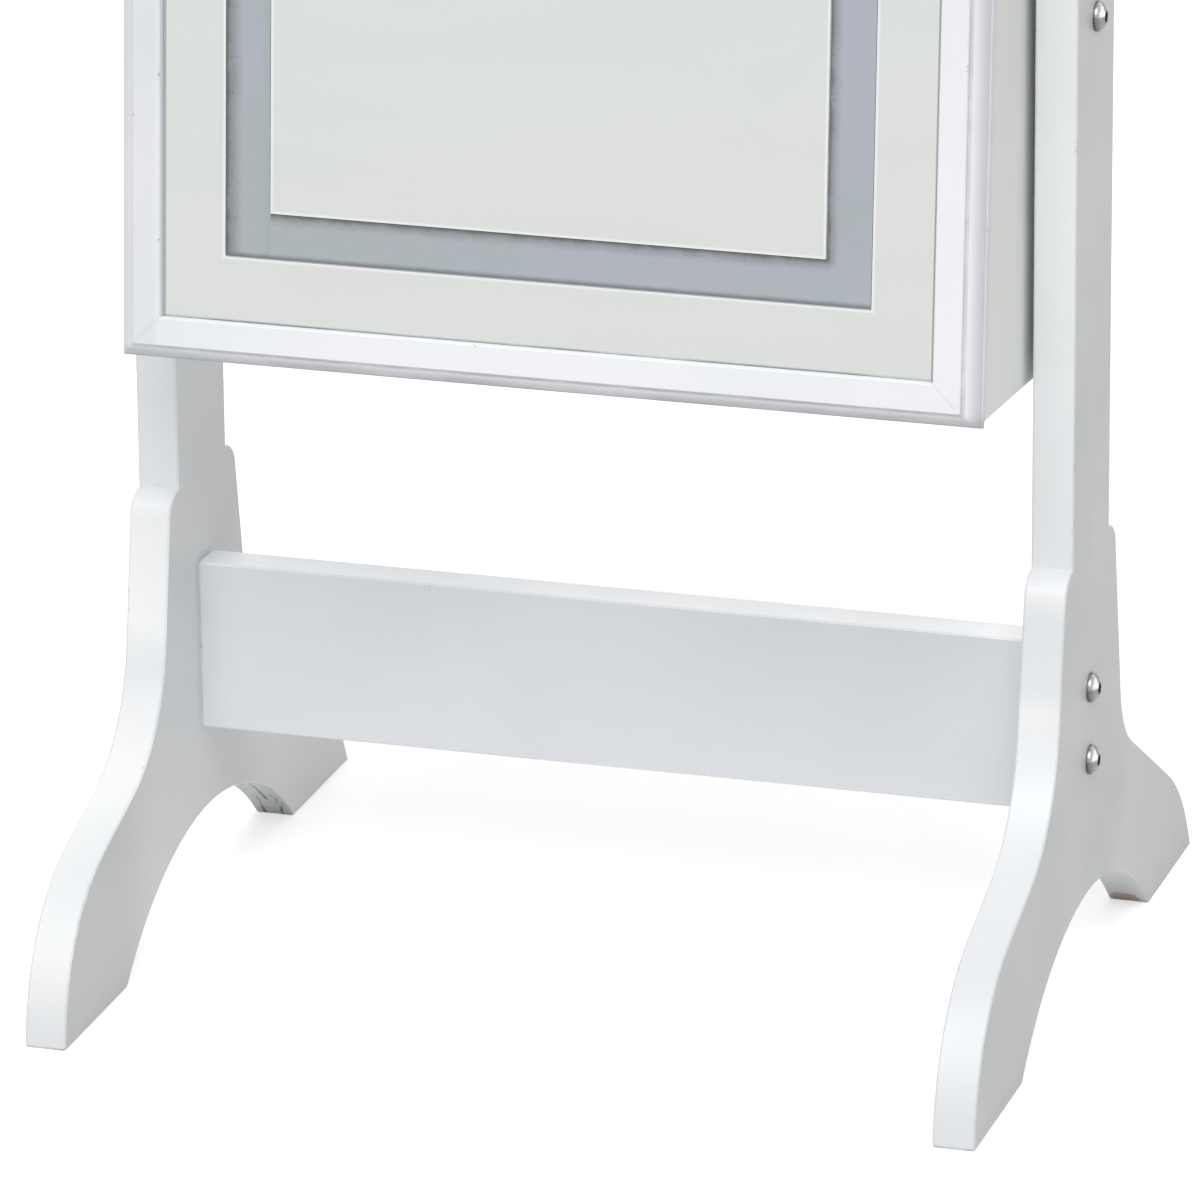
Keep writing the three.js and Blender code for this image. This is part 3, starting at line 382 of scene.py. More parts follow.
def leg_painted_shade(paint, base):
    """The side boards' painted shade, along their height and across their faces, and a dark line at the
    soles.
    """
    x, y, z = paint.split(paint.place)
    # painted shade: the outer faces of both boards a little greyer
    outer = paint.step(paint.size(x), LEG_OUTER - 0.6 * MM, LEG_OUTER - 0.2 * MM)
    base = paint.tint(outer, base, tone(236, 236, 235))
    on_left = paint.below(x, 0.0)
    # painted shade on the machined faces: over the posts, at the toes, low on the feet, at the right neck and
    # the left shin
    grey = paint.times(paint.step(z, SHOULDER - 5 * MM, SHOULDER), 0.35)
    grey = paint.most(grey, paint.step(z, 8 * MM, 50 * MM, 1.0, 0.0))
    grey = paint.most(grey, paint.step(z, 60 * MM, 90 * MM, 0.45, 0.0))
    neck = paint.times(paint.ridge(z, NECK_AT, 12 * MM, 26 * MM, 0.75), paint.minus(1.0, on_left))
    shin = paint.times(paint.ridge(z, SHIN_AT, 8 * MM, 30 * MM, 0.9), on_left)
    grey = paint.most(grey, paint.most(neck, shin))
    base = paint.tint(paint.times(grey, paint.machined), base, tone(239, 240, 241))

    # painted shade and light low on the left board's inner face: greyer towards the front, lighter towards
    # the back
    inner = paint.below(paint.size(x), LEG_INNER + 0.3 * MM)
    inner = paint.times(paint.times(inner, paint.step(z, 0.150, 0.190, 1.0, 0.0)), on_left)
    to_front = paint.times(inner, paint.step(y, -0.12, -0.06, 1.0, 0.0))
    to_back = paint.times(inner, paint.step(y, 0.02, 0.09, 0.0, 0.9))
    base = paint.tint(to_front, base, tone(238, 238, 238))
    base = paint.blend(to_back, base, tone(252, 252, 252))
    # a dark, broken line along the soles
    sole_patches = paint.step(paint.noise(90, 3), 0.3, 0.6, 0.4, 1.0)
    sole = paint.times(paint.step(z, 0.0, 1.4 * MM, 1.0, 0.0), sole_patches)
    return paint.blend(paint.times(sole, 0.7), base, tone(120, 120, 118))


def front_nicks(paint, base):
    """Small nicks along the inner arris of the left board's front foot."""
    x, y, z = paint.split(paint.place)
    left = paint.step(x, -LEG_INNER - 1.5 * MM, -LEG_INNER, 0.0, 1.0)
    left = paint.times(left, paint.below(x, 0.0))
    low = paint.times(paint.step(z, 24 * MM, 30 * MM), paint.step(z, 66 * MM, 74 * MM, 1.0, 0.0))
    front = paint.times(paint.below(y, -0.14), low)
    nicks = paint.step(paint.noise(210, 3, 0.65), 0.50, 0.56)
    nicks = paint.times(nicks, paint.step(paint.edge, 0.004, 0.02))
    nicks = paint.times(nicks, paint.times(left, front))
    return paint.blend(paint.times(nicks, 0.75), base, tone(150, 150, 154))


def heel_scuffs(paint, base):
    """Dark strokes under the arch of the left back foot, in a paler rubbed patch."""
    x, y, z = paint.split(paint.place)
    wander = paint.times(paint.minus(paint.noise(240, 3), 0.5), 1.1 * MM)
    across = paint.plus(x, wander)
    height = paint.minus(z, wander)
    under = paint.below(paint.size(paint.split(paint.facing)[0]), 0.5)
    under = paint.times(under, paint.below(x, 0.0))
    under = paint.times(under, paint.step(y, 0.045, 0.055))
    strokes = 0.0
    for start, end, half, weight in SCUFFS:
        stroke = paint.times(paint.stroke(across, height, start, end, half), weight)
        strokes = paint.most(strokes, stroke)
    patchy = paint.step(paint.noise(330, 3, 0.6), 0.3, 0.62, 0.55, 1.0)
    strokes = paint.times(paint.times(strokes, under), patchy)
    rubbed = paint.times(paint.step(paint.noise(150, 3, 0.6), 0.4, 0.6), 0.35)
    base = paint.blend(paint.times(rubbed, under), base, tone(200, 202, 196))
    return paint.blend(paint.times(strokes, 0.92), base, tone(92, 92, 88))


def bare_heel(paint, base):
    """Bare board at the right back foot's sole, on the face under the arch."""
    spot = (LEG_MIDDLE - 1.5 * MM, HEEL - 3 * MM, 1.5 * MM)
    from_spot = paint.vector("MULTIPLY", paint.vector("SUBTRACT", paint.place, spot), (0.95, 1.0, 1.25))
    ragged = paint.plus(paint.vector("LENGTH", from_spot), paint.times(paint.noise(260, 4), 4 * MM))
    grain = paint.step(paint.noise(700, 3), 0.35, 0.65)
    board = paint.blend(grain, tone(205, 172, 152), tone(170, 138, 122))
    return paint.blend(paint.step(ragged, 7.0 * MM, 9.5 * MM, 0.9, 0.0), base, board)


def leg_paint():
    """The side boards' paint, with painted light and shade and the knocks of use."""
    # painted light: the machined front, back and top edges take a lighter tone than the greyer broad faces
    paint = painted(
        "leg_paint", tone(226, 227, 228), tone(196, 197, 200), tone(140, 140, 142),
        narrow=tone(246, 247, 248), flat=0)
    base = leg_painted_shade(paint, paint.base)
    base = front_nicks(paint, base)
    base = heel_scuffs(paint, base)
    paint.set("Base Color", bare_heel(paint, base))
    return paint.material


# ---------- foil, glass, metal, plastic and cloth ----------
def side_foil():
    """The wrapped side boards: satin foil with a faint lengthwise grain, and painted shade just behind the
    door.
    """
    foil = Finish("side_foil", tone(240, 243, 239))
    grain = foil.noise(1, 5, 0.6, at=foil.in_cabinet(), stretch=(90, 260, 5))
    haze = foil.noise(5, 3)
    base = foil.blend(foil.step(grain, 0.3, 0.7), tone(243, 246, 242), tone(238, 241, 236))
    base = foil.blend(foil.step(haze, 0.35, 0.75), base, tone(236, 239, 235))
    # painted shade just behind the door, where its frame stands out over the side
    depth = foil.split(foil.in_cabinet())[1]
    base = foil.tint(foil.step(depth, 16 * MM, 24 * MM, 1.0, 0.0), base, tone(248, 248, 248))
    edge = foil.arris(1.2 * MM)
    patches = foil.step(foil.noise(80, 4), 0.4, 0.6)
    rubbed = foil.times(foil.step(edge, 0.03, 0.2), patches)
    base = foil.blend(foil.times(rubbed, 0.5), base, tone(200, 204, 202))
    specks = foil.step(foil.noise(190, 3, 0.6), 0.60, 0.64)
    chips = foil.times(foil.step(edge, 0.01, 0.03), specks)
    foil.set("Base Color", foil.blend(foil.times(chips, 0.7), base, tone(160, 160, 162)))
    foil.set("Roughness", foil.step(foil.noise(30, 4), 0.3, 0.7, 0.42, 0.56))
    foil.set("Normal", foil.bump(grain, 0.04 * MM, 0.4))
    return foil.material


def mirror():
    """Silvered glass, a little green, with wiped smears, a painted warm reflection, painted highlights at the
    light band's edges and painted shade by the frame.
    """
    silvered = tone(212, 217, 214)
    silver = Finish("mirror", silvered, 0.03, 1.0)
    x, y, h = silver.split(silver.in_cabinet())
    smear = silver.step(silver.noise(7, 5, 0.65, distortion=0.8), 0.45, 0.75)
    silver.set("Roughness", silver.plus(silver.times(smear, 0.035), 0.02))
    # painted reflection: a warmer patch low on the right
    warm_reflection = silver.step(silver.plus(h, silver.times(x, -0.25)), 0.05, 0.22, 1.0, 0.0)
    base = silver.blend(warm_reflection, silvered, tone(214, 216, 214))
    base = silver.blend(silver.times(smear, 0.5), base, tone(211, 215, 212))
    across = silver.size(x)
    along = silver.size(silver.minus(h, DOOR_HEIGHT / 2))
    # painted highlights: pale lines along the light band's edges
    for inset in (BAND_INSET, BAND_INSET + BAND_WIDTH):
        dx = silver.minus(across, DOOR_HALF - inset)
        dz = silver.minus(along, DOOR_HEIGHT / 2 - inset)
        line = silver.size(silver.most(dx, dz))
        base = silver.blend(silver.step(line, 0.6 * MM, 1.6 * MM, 0.85, 0.0), base, tone(230, 232, 236))
    # painted shadow: a dark line along the right edge of the opening
    opening = DOOR_HALF - FRAME_FACE
    beside = silver.step(x, opening - 2.1 * MM, opening - 1.3 * MM)
    base = silver.blend(silver.times(beside, 0.8), base, tone(120, 122, 120))
    # painted shade: a patchy dark line along the bottom of the opening
    sill = silver.step(h, FRAME_FACE + 0.2 * MM, FRAME_FACE + 1.1 * MM, 1.0, 0.0)
    sill = silver.times(sill, silver.step(silver.noise(25, 3), 0.35, 0.6, 0.3, 0.9))
    base = silver.blend(sill, base, tone(150, 152, 150))
    silver.set("Base Color", base)
    return silver.material


def frosted_band():
    """The sandblasted band: matt grey glass, shaded and blotched where the photographed groove is in shade.

    That is along the outer edge of its left and top runs, and along the pane on its right and bottom runs.
    """
    glass = Finish("frosted_glass", tone(174, 180, 184), 0.55, Specular_IOR_Level=0.4)
    x, y, h = glass.split(glass.in_cabinet())
    outer_x = DOOR_HALF - BAND_INSET
    outer_high = DOOR_HEIGHT - BAND_INSET
    inner_x = outer_x - BAND_WIDTH
    inner_low = BAND_INSET + BAND_WIDTH
    blotch = glass.noise(110, 4, 0.6)
    grain = glass.noise(900, 2)
    wander = glass.times(glass.minus(blotch, 0.5), 2.4 * MM)

    from_edge = glass.least(glass.plus(x, outer_x), glass.minus(outer_high, h))
    from_edge = glass.plus(from_edge, wander)
    on_left = glass.below(x, -inner_x)
    on_top = glass.math("GREATER_THAN", h, outer_high - BAND_WIDTH)
    right_of = glass.most(glass.minus(x, inner_x), 0.0)
    under = glass.most(glass.minus(inner_low, h), 0.0)
    from_pane = glass.plus(glass.plus(glass.hypot(right_of, under), wander), glass.most(on_left, on_top))
    # painted shade: a dark line along the outer foot of the bottom run
    from_foot = glass.plus(glass.minus(h, BAND_INSET), glass.times(wander, 0.5))
    shade = glass.step(from_edge, 0.8 * MM, 8.2 * MM, 0.86, 0.0)
    shade = glass.most(shade, glass.step(from_pane, 0.2 * MM, 6.0 * MM, 0.85, 0.0))
    line = glass.step(from_edge, 0.5 * MM, 1.9 * MM, 0.9, 0.0)
    line = glass.most(line, glass.step(from_pane, 0.3 * MM, 2.2 * MM, 0.9, 0.0))
    line = glass.most(line, glass.step(from_foot, 0.4 * MM, 3.0 * MM, 0.78, 0.0))

    hue = glass.blend(glass.step(glass.noise(14, 3), 0.35, 0.65), tone(172, 181, 184), tone(177, 181, 192))
    greener = glass.times(glass.step(glass.plus(x, inner_x), -5 * MM, -0.5 * MM), on_left)
    hue = glass.blend(glass.times(greener, 0.8), hue, tone(168, 177, 177))
    shaded = glass.blend(blotch, tone(124, 126, 126), tone(138, 137, 142))
    base = glass.blend(line, glass.blend(shade, hue, shaded), tone(101, 104, 102))
    # dark specks of the frosting all over, denser in the painted shade
    speckled = glass.plus(glass.times(shade, 0.7), 0.12)
    speck = glass.times(glass.step(grain, 0.62, 0.72), speckled)
    glass.set("Base Color", glass.blend(speck, base, tone(88, 92, 94)))
    glass.set("Normal", glass.bump(grain, 0.02 * MM, 0.5))
    return glass.material


def bolt_metal():
    """Zinc-plated bolt heads with painted reflections: a painted highlight high on the front, painted dark
    behind it, painted shade at the rim and in the socket, mid grey below.
    """
    plate = Finish("bolt_metal", tone(150, 151, 153), 0.28, 1.0)
    x, y, z = plate.split(plate.place)
    radius = plate.hypot(y, z)
    ragged = plate.times(plate.minus(plate.noise(500, 3), 0.5), 1.2 * MM)
    # painted reflections: a bright patch high on the front, dark behind it
    behind = plate.step(plate.plus(y, ragged), -2.0 * MM, -0.9 * MM)
    crown = plate.step(plate.plus(z, ragged), 0.2 * MM, 1.6 * MM)
    base = plate.blend(crown, tone(150, 151, 153), tone(246, 247, 248))
    base = plate.blend(plate.times(behind, 0.8), base, tone(104, 105, 106))
    # painted shade: a dark ring at the rim
    rim = plate.step(plate.plus(radius, ragged), 4.9 * MM, 6.2 * MM)
    base = plate.blend(plate.times(rim, 0.7), base, tone(112, 113, 114))
    # painted shade in the socket
    socket = plate.step(radius, 1.9 * MM, 2.3 * MM, 1.0, 0.0)
    base = plate.blend(plate.times(socket, 0.7), base, tone(70, 70, 72))
    lines = plate.noise(220, 5, 0.7, stretch=(1, 1, 9))
    plate.set("Roughness", plate.step(lines, 0.3, 0.75, 0.20, 0.42))
    plate.set("Normal", plate.bump(lines, 0.01 * MM, 0.35))
    plate.set("Base Color", base)
    return plate.material


def metal(name, colour, dull, roughness):
    """Plated or bare metal: fine scratches and duller patches."""
    plate = Finish(name, colour, roughness, 1.0)
    patches = plate.step(plate.noise(180, 3), 0.35, 0.7)
    base = plate.blend(plate.times(patches, 0.35), colour, dull)
    lines = plate.noise(220, 5, 0.7, stretch=(1, 1, 9))
    plate.set("Roughness", plate.step(lines, 0.3, 0.75, roughness * 0.7, roughness * 1.5))
    plate.set("Normal", plate.bump(lines, 0.01 * MM, 0.35))
    plate.set("Base Color", base)
    return plate.material


def moulded(name, colour, shade, roughness=0.42):
    """Moulded plastic with a spark-eroded grain."""
    plastic = Finish(name, colour, roughness, Specular_IOR_Level=0.45)
    haze = plastic.step(plastic.noise(30, 3), 0.3, 0.7)
    plastic.set("Base Color", plastic.blend(haze, colour, shade))
    grain = plastic.noise(1400, 2)
    plastic.set("Roughness", plastic.step(grain, 0.3, 0.7, roughness - 0.06, roughness + 0.08))
    plastic.set("Normal", plastic.bump(grain, 0.02 * MM, 0.6))
    return plastic.material


def velvet():
    """Charcoal velvet: short pile that lies in soft patches, with a pale sheen."""
    pile = Finish("velvet", tone(38, 39, 46), 0.95, Sheen_Weight=0.35, Sheen_Roughness=0.4)
    pile.set("Sheen Tint", tone(190, 195, 215))
    brushed = pile.step(pile.noise(16, 4, 0.6, distortion=0.8), 0.3, 0.7)
    fibres = pile.noise(2600, 3, 0.7)
    base = pile.blend(brushed, tone(31, 32, 38), tone(48, 49, 58))
    base = pile.blend(pile.step(fibres, 0.35, 0.75), base, tone(60, 61, 72))
    pile.set("Base Color", base)
    pile.set("Normal", pile.bump(fibres, 0.25 * MM, 0.7))
    return pile.material


def led_tape():
    """The light strip: a pale tape with a row of small yellow lamps."""
    tape = Finish("light_tape", tone(240, 238, 228), 0.5)
    x, y, h = tape.split(tape.in_cabinet())
    pitch = 16.6 * MM
    along = tape.math("PINGPONG", tape.plus(h, x), pitch / 2)
    lamp = tape.step(along, 1.4 * MM, 1.8 * MM, 1.0, 0.0)
    tape.set("Base Color", tape.blend(lamp, tone(240, 238, 228), tone(236, 214, 120)))
    tape.set("Roughness", tape.step(tape.noise(200, 2), 0.3, 0.7, 0.4, 0.6))
    return tape.material


WHITE = white_paint()
FRAME_WHITE = frame_paint()
MITRE_WHITE = mitre_paint()
STRETCHER_WHITE = stretcher_paint()
LEGS = leg_paint()
FOIL = side_foil()
MIRROR = mirror()
FROSTED = frosted_band()
CHROME = metal("chrome", tone(196, 198, 202), tone(160, 162, 166), 0.16)
BOLT_METAL = bolt_metal()
STEEL = metal("steel", tone(172, 174, 178), tone(138, 139, 142), 0.3)
BRASS = metal("brass", tone(196, 168, 98), tone(160, 132, 74), 0.32)
NYLON = moulded("nylon", tone(232, 232, 226), tone(222, 222, 214))
PLASTIC = moulded("white_plastic", tone(236, 238, 240), tone(228, 230, 233))
IRON = moulded("magnet", tone(66, 68, 72), tone(50, 51, 55), 0.5)
VELVET = velvet()
TAPE = led_tape()

# the finish of the nodes whose names start so; the longest start counts
FINISHES = {
    "leg_": LEGS,
    "stretcher": STRETCHER_WHITE,
    "stretcher_bolt": BOLT_METAL,
    "cross_nut": STEEL,
    "pivot_bolt": BOLT_METAL,
    "lean_bolt": BOLT_METAL,
    "pivot_spacer": NYLON,
    "lean_pad": NYLON,
    "pivot_sleeve": BRASS,
    "lean_sleeve": BRASS,
    "cabinet_side": FOIL,
    "cabinet_": WHITE,
    "shelf_": WHITE,
    "ring_pad": VELVET,
    "earring_bar": PLASTIC,
    "bracelet_rod": CHROME,
    "necklace_rail": WHITE,
    "hinge_": STEEL,
    "lock_": CHROME,
    "lock_hook_cam": STEEL,
    "lock_keeper": STEEL,
    "catch_plate": STEEL,
    "catch_magnet": IRON,
    "door_rail": FRAME_WHITE,
    "door_backing": WHITE,
    "mirror_glass": MIRROR,
    "light_band": FROSTED,
    "light_strip": TAPE,
    "battery_": PLASTIC,
    "light_button": CHROME,
}


# ---------- surface of the frame's own nodes ----------
def shading_group(name, weld, angle):
    """A node group that joins split corners and shades smooth where faces meet under an angle."""
    group = bpy.data.node_groups.new(name, "GeometryNodeTree")
    group.interface.new_socket("Geometry", in_out="INPUT", socket_type="NodeSocketGeometry")
    group.interface.new_socket("Geometry", in_out="OUTPUT", socket_type="NodeSocketGeometry")
    start = group.nodes.new("NodeGroupInput")
    end = group.nodes.new("NodeGroupOutput")
    flow = start.outputs[0]
    if weld:
        merge = group.nodes.new("GeometryNodeMergeByDistance")
        merge.inputs["Distance"].default_value = weld
        group.links.new(flow, merge.inputs["Geometry"])
        flow = merge.outputs["Geometry"]
    normal = group.nodes.new("GeometryNodeSetMeshNormal")
    normal.mode = "SHARPNESS"
    normal.inputs["Remove Custom"].default_value = True
    found = group.nodes.new("GeometryNodeInputMeshEdgeAngle")
    sharp = group.nodes.new("FunctionNodeCompare")
    sharp.operation = "GREATER_THAN"
    sharp.inputs[1].default_value = angle
    group.links.new(found.outputs[0], sharp.inputs[0])
    group.links.new(sharp.outputs[0], normal.inputs["Edge Sharpness"])
    group.links.new(flow, normal.inputs["Mesh"])
    group.links.new(normal.outputs["Mesh"], end.inputs[0])
    return group


WELD = shading_group("weld", 0.01 * MM, math.radians(30))
SHADE = shading_group("shade", 0.0, math.radians(34))


def smooth_frame(node, width):
    """Joins a node's split corners, rounds its arrises by the given width and shades its curves smooth."""
    weld = node.modifiers.new("weld", "NODES")
    weld.node_group = WELD
    flatten = node.modifiers.new("join_flat", "DECIMATE")
    flatten.decimate_type = "DISSOLVE"
    flatten.angle_limit = math.radians(0.4)
    if width:
        bevel = node.modifiers.new("round", "BEVEL")
        bevel.width = width
        bevel.segments = 2
        bevel.limit_method = "ANGLE"
        bevel.angle_limit = math.radians(28)
        bevel.miter_outer = "MITER_SHARP"
        bevel.use_clamp_overlap = True
    shade = node.modifiers.new("shade", "NODES")
    shade.node_group = SHADE
    if width:
        level = node.modifiers.new("level", "WEIGHTED_NORMAL")
        level.keep_sharp = True


# the width of the rounded arrises; nodes that aren't named here have none
ARRIS = {
    "leg_": 0.35 * MM, "stretcher": 0.35 * MM, "cabinet_": 0.3 * MM, "shelf_": 0.4 * MM,
    "door_backing": 0.3 * MM, "battery_": 0.3 * MM, "earring_bar": 0.25 * MM, "catch_magnet": 0.3 * MM,
}


def by_start(table, name, otherwise=None):
    """The value whose key is the longest start of a node's name."""
    starts = [start for start in table if name.startswith(start)]
    return table[max(starts, key=len)] if starts else otherwise


for name, node in nodes.items():
    node.data.materials.clear()
    node.data.materials.append(by_start(FINISHES, name))
    smooth_frame(node, by_start(ARRIS, name, 0.0))


# ---------- mesh helpers ----------
def new_piece(name, mesh, body, finish, place=Matrix.Identity(4)):
    piece = bpy.data.objects.new(name, mesh)
    bpy.context.scene.collection.objects.link(piece)
    mesh.materials.append(finish)
    piece.matrix_world = place
    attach(piece, body)
    return piece


def finished(shape, name):
    """The bmesh as a mesh, with its normals turned outwards."""
    bmesh.ops.recalc_face_normals(shape, faces=shape.faces)
    mesh = bpy.data.meshes.new(name)
    shape.to_mesh(mesh)
    shape.free()
    return mesh


def smooth(mesh):
    for polygon in mesh.polygons:
        polygon.use_smooth = True
    return mesh


def lathe(profile, segments=48):
    """A closed revolved mesh along +X from (along, radius) pairs that start and end on the axis."""
    shape = bmesh.new()
    rings = []
    for along, radius in profile:
        if radius == 0:
            rings.append([shape.verts.new((along, 0, 0))])
            continue
        turns = [2 * math.pi * i / segments for i in range(segments)]
        rings.append([shape.verts.new((along, radius * math.cos(a), radius * math.sin(a))) for a in turns])
    for a, b in zip(rings, rings[1:]):
        for i in range(segments):
            j = (i + 1) % segments
            corners = [a[i % len(a)], a[j % len(a)], b[j % len(b)], b[i % len(b)]]
            shape.faces.new(list(dict.fromkeys(corners)))
    return finished(shape, "lathe")


# ---------- bolts ----------
def bolt_mesh(shank):
    """A dome-head bolt along +X with its seat at 0: rim, domed crown, round socket, plain shank."""
    rim = 0.8 * MM
    stem = 3.0 * MM
    socket = 2.3 * MM
    crown = BOLT_HEAD_HEIGHT - rim
    dome = []
    for i in range(1, 11):
        angle = math.pi / 2 * i / 11
        dome.append((rim + crown * math.sin(angle), BOLT_HEAD_RADIUS * math.cos(angle)))
    dome = [point for point in dome if point[1] > socket + 0.5 * MM]
    top = BOLT_HEAD_HEIGHT
    profile = [
        (-shank, 0), (-shank, stem - 0.6 * MM), (-shank + 0.6 * MM, stem), (0, stem),
        (0, BOLT_HEAD_RADIUS - 0.3 * MM), (0.2 * MM, BOLT_HEAD_RADIUS), (rim, BOLT_HEAD_RADIUS),
        *dome,
        (top - 0.1 * MM, socket + 0.35 * MM), (top - 0.3 * MM, socket),
        (top - 1.6 * MM, socket), (top - 2.2 * MM, 0),
    ]
    return smooth(lathe(profile))


def shade_piece(piece):
    modifier = piece.modifiers.new("shade", "NODES")
    modifier.node_group = SHADE


def add_bolts():
    for name in sorted(nodes):
        if not name.startswith(("stretcher_bolt", "pivot_bolt", "lean_bolt")):
            continue
        low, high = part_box(name)
        middle = (low + high) / 2
        right = middle.x > 0
        shank = high.x - low.x - BOLT_HEAD_HEIGHT
        turn = Matrix.Identity(4) if right else Matrix.Rotation(math.pi, 4, "Z")
        seat = high.x - BOLT_HEAD_HEIGHT if right else low.x + BOLT_HEAD_HEIGHT
        place = Matrix.Translation((seat, middle.y, middle.z)) @ turn
        piece = new_piece(f"{name}_fine", bolt_mesh(shank), "stand", BOLT_METAL, place)
        shade_piece(piece)
        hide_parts(name)


# ---------- cards, screws and brads ----------
def rounded_outline(x0, x1, y0, y1, radius, steps=4):
    """The corners of a rectangle with rounded corners, anticlockwise."""
    outline = []
    right, left, top, bottom = (x1 - radius, x0 + radius, y1 - radius, y0 + radius)
    for quarter, (x, y) in enumerate(((right, top), (left, top), (left, bottom), (right, bottom))):
        for i in range(steps + 1):
            angle = math.pi / 2 * (quarter + i / steps)
            outline.append((x + radius * math.cos(angle), y + radius * math.sin(angle)))
    return outline


def card_mesh(outline, thick):
    """A closed thin sheet over an outline in the XY plane."""
    shape = bmesh.new()
    under = [shape.verts.new((x, y, 0)) for x, y in outline]
    over = [shape.verts.new((x, y, thick)) for x, y in outline]
    shape.faces.new(under)
    shape.faces.new(over)
    for i, low in enumerate(under):
        j = (i + 1) % len(under)
        shape.faces.new((low, under[j], over[j], over[i]))
    return finished(shape, "card")


def axes(origin, across, up):
    """A place in the cabinet's axes whose own X and Y point along across and up."""
    across, up = (Vector(across), Vector(up))
    turn = Matrix((across, up, across.cross(up))).transposed()
    return CABINET @ Matrix.Translation(origin) @ turn.to_4x4()


def screw_mesh(places, radius, rise, cross):
    """Screw heads that face each place's +Z: low domes, with a cross recess where cross is its reach."""
    rings = 14
    turns = 56
    shape = bmesh.new()
    for place in places:
        def at(r, angle):
            x, y = (r * math.cos(angle), r * math.sin(angle))
            height = rise * (1 - (r / radius) ** 2)
            if cross and max(abs(x), abs(y)) < cross and min(abs(x), abs(y)) < cross * 0.24:
                height -= CROSS_DEEP * (1 - 0.5 * r / cross)
            return shape.verts.new(place @ Vector((x, y, height)))

        last = [shape.verts.new(place @ Vector((0, 0, rise - (CROSS_DEEP if cross else 0))))]
        for ring in range(1, rings + 1):
            r = radius * ring / rings
            here = [at(r, 2 * math.pi * i / turns) for i in range(turns)]
            for i in range(turns):
                j = (i + 1) % turns
                corners = [last[i % len(last)], here[i], here[j], last[j % len(last)]]
                shape.faces.new(list(dict.fromkeys(corners)))
            last = here
        tip = shape.verts.new(place @ Vector((0, 0, -0.5 * MM)))
        for i in range(turns):
            shape.faces.new((last[(i + 1) % turns], last[i], tip))
    return smooth(finished(shape, "screws"))


def facing(x, depth, height, backwards=False, turn=0.0):
    """A place on a face that looks forwards, or backwards, at a point of the cabinet's axes."""
    up = (math.sin(turn), 0, math.cos(turn))
    across = (math.cos(turn), 0, -math.sin(turn))
    if backwards:
        across = tuple(-value for value in across)
    origin = Matrix.Translation((x, depth, height))
    normal = Vector(across).cross(Vector(up))
    return origin @ Matrix((Vector(across), Vector(up), normal)).transposed().to_4x4()


def add_screws():
    draw = random.Random(4)
    places = {"cabinet": [], "door": []}
    for body, depth in LEAF_FACES.items():
        for height in HINGE_HEIGHTS:
            for reach in (-HINGE_SCREW_REACH, HINGE_SCREW_REACH):
                turn = draw.uniform(0, math.pi / 2)
                places[body].append(facing(HINGE_SCREWS, depth, height + reach, body == "door", turn))
    for point in KEEPER_SCREWS + CATCH_SCREWS:
        places["door"].append(facing(*point, True, draw.uniform(0, math.pi / 2)))
    for body in places:
        heads = screw_mesh(places[body], *SCREW)
        shade_piece(new_piece(f"{body}_screws", heads, body, STEEL, CABINET))
    brads = [facing(x, PANEL_BACK, height, True) for height in BRAD_HEIGHTS for x in BRAD_ACROSS]
    heads = screw_mesh(brads, *BRAD)
    shade_piece(new_piece("back_brads", heads, "cabinet", STEEL, CABINET))


def add_card(name, outline, thick, place):
    new_piece(name, card_mesh(outline, thick), "cabinet", VELVET, place)


def add_lining():
    """Flocked cards that line the cabinet: sides, back, top, bottom and shelves."""
    thick = CARD_THICK
    corner = 3 * MM
    low, high = (INNER_LOW + 0.3 * MM, INNER_HIGH - 0.3 * MM)
    front, back = (0.030, INNER_BACK - 0.1 * MM)
    plain = rounded_outline(front, back, low, high, corner)
    half_turn = math.acos((front - LOCK_DEPTH) / LOCK_CLEAR)
    notch = []
    for i in range(17):
        angle = half_turn * (1 - i / 8)
        depth = LOCK_DEPTH + LOCK_CLEAR * math.cos(angle)
        notch.append((depth, LOCK_HEIGHT + LOCK_CLEAR * math.sin(angle)))
    turned = len(plain) // 2    # the outline's second half starts at the front edge
    notched = plain[:turned] + notch + plain[turned:]
    sides = {
        "lining_left": (plain, -INNER_HALF + CARD_GAP),
        "lining_right": (notched, INNER_HALF - CARD_GAP - thick),
    }
    for name, (outline, x) in sides.items():
        add_card(name, outline, thick, axes((x, 0, 0), (0, 1, 0), (0, 0, 1)))
    half = INNER_HALF - 0.4 * MM
    outline = rounded_outline(-half, half, low, high, corner)
    add_card("lining_back", outline, thick, axes((0, INNER_BACK + 0.25 * MM, 0), (1, 0, 0), (0, 0, 1)))
    half = INNER_HALF - 0.6 * MM
    trays = {f"lining_shelf_{name}": (BEHIND_LIP, top + CARD_GAP) for name, top in SHELF_TOPS.items()}
    trays["lining_bottom"] = (BEHIND_DOOR, INNER_LOW + CARD_GAP)
    trays["lining_top"] = (BEHIND_DOOR, INNER_HIGH - CARD_GAP - thick)
    for name, (near, height) in trays.items():
        outline = rounded_outline(-half, half, near, back - 0.1 * MM, corner)
        add_card(name, outline, thick, axes((0, 0, height), (1, 0, 0), (0, 1, 0)))


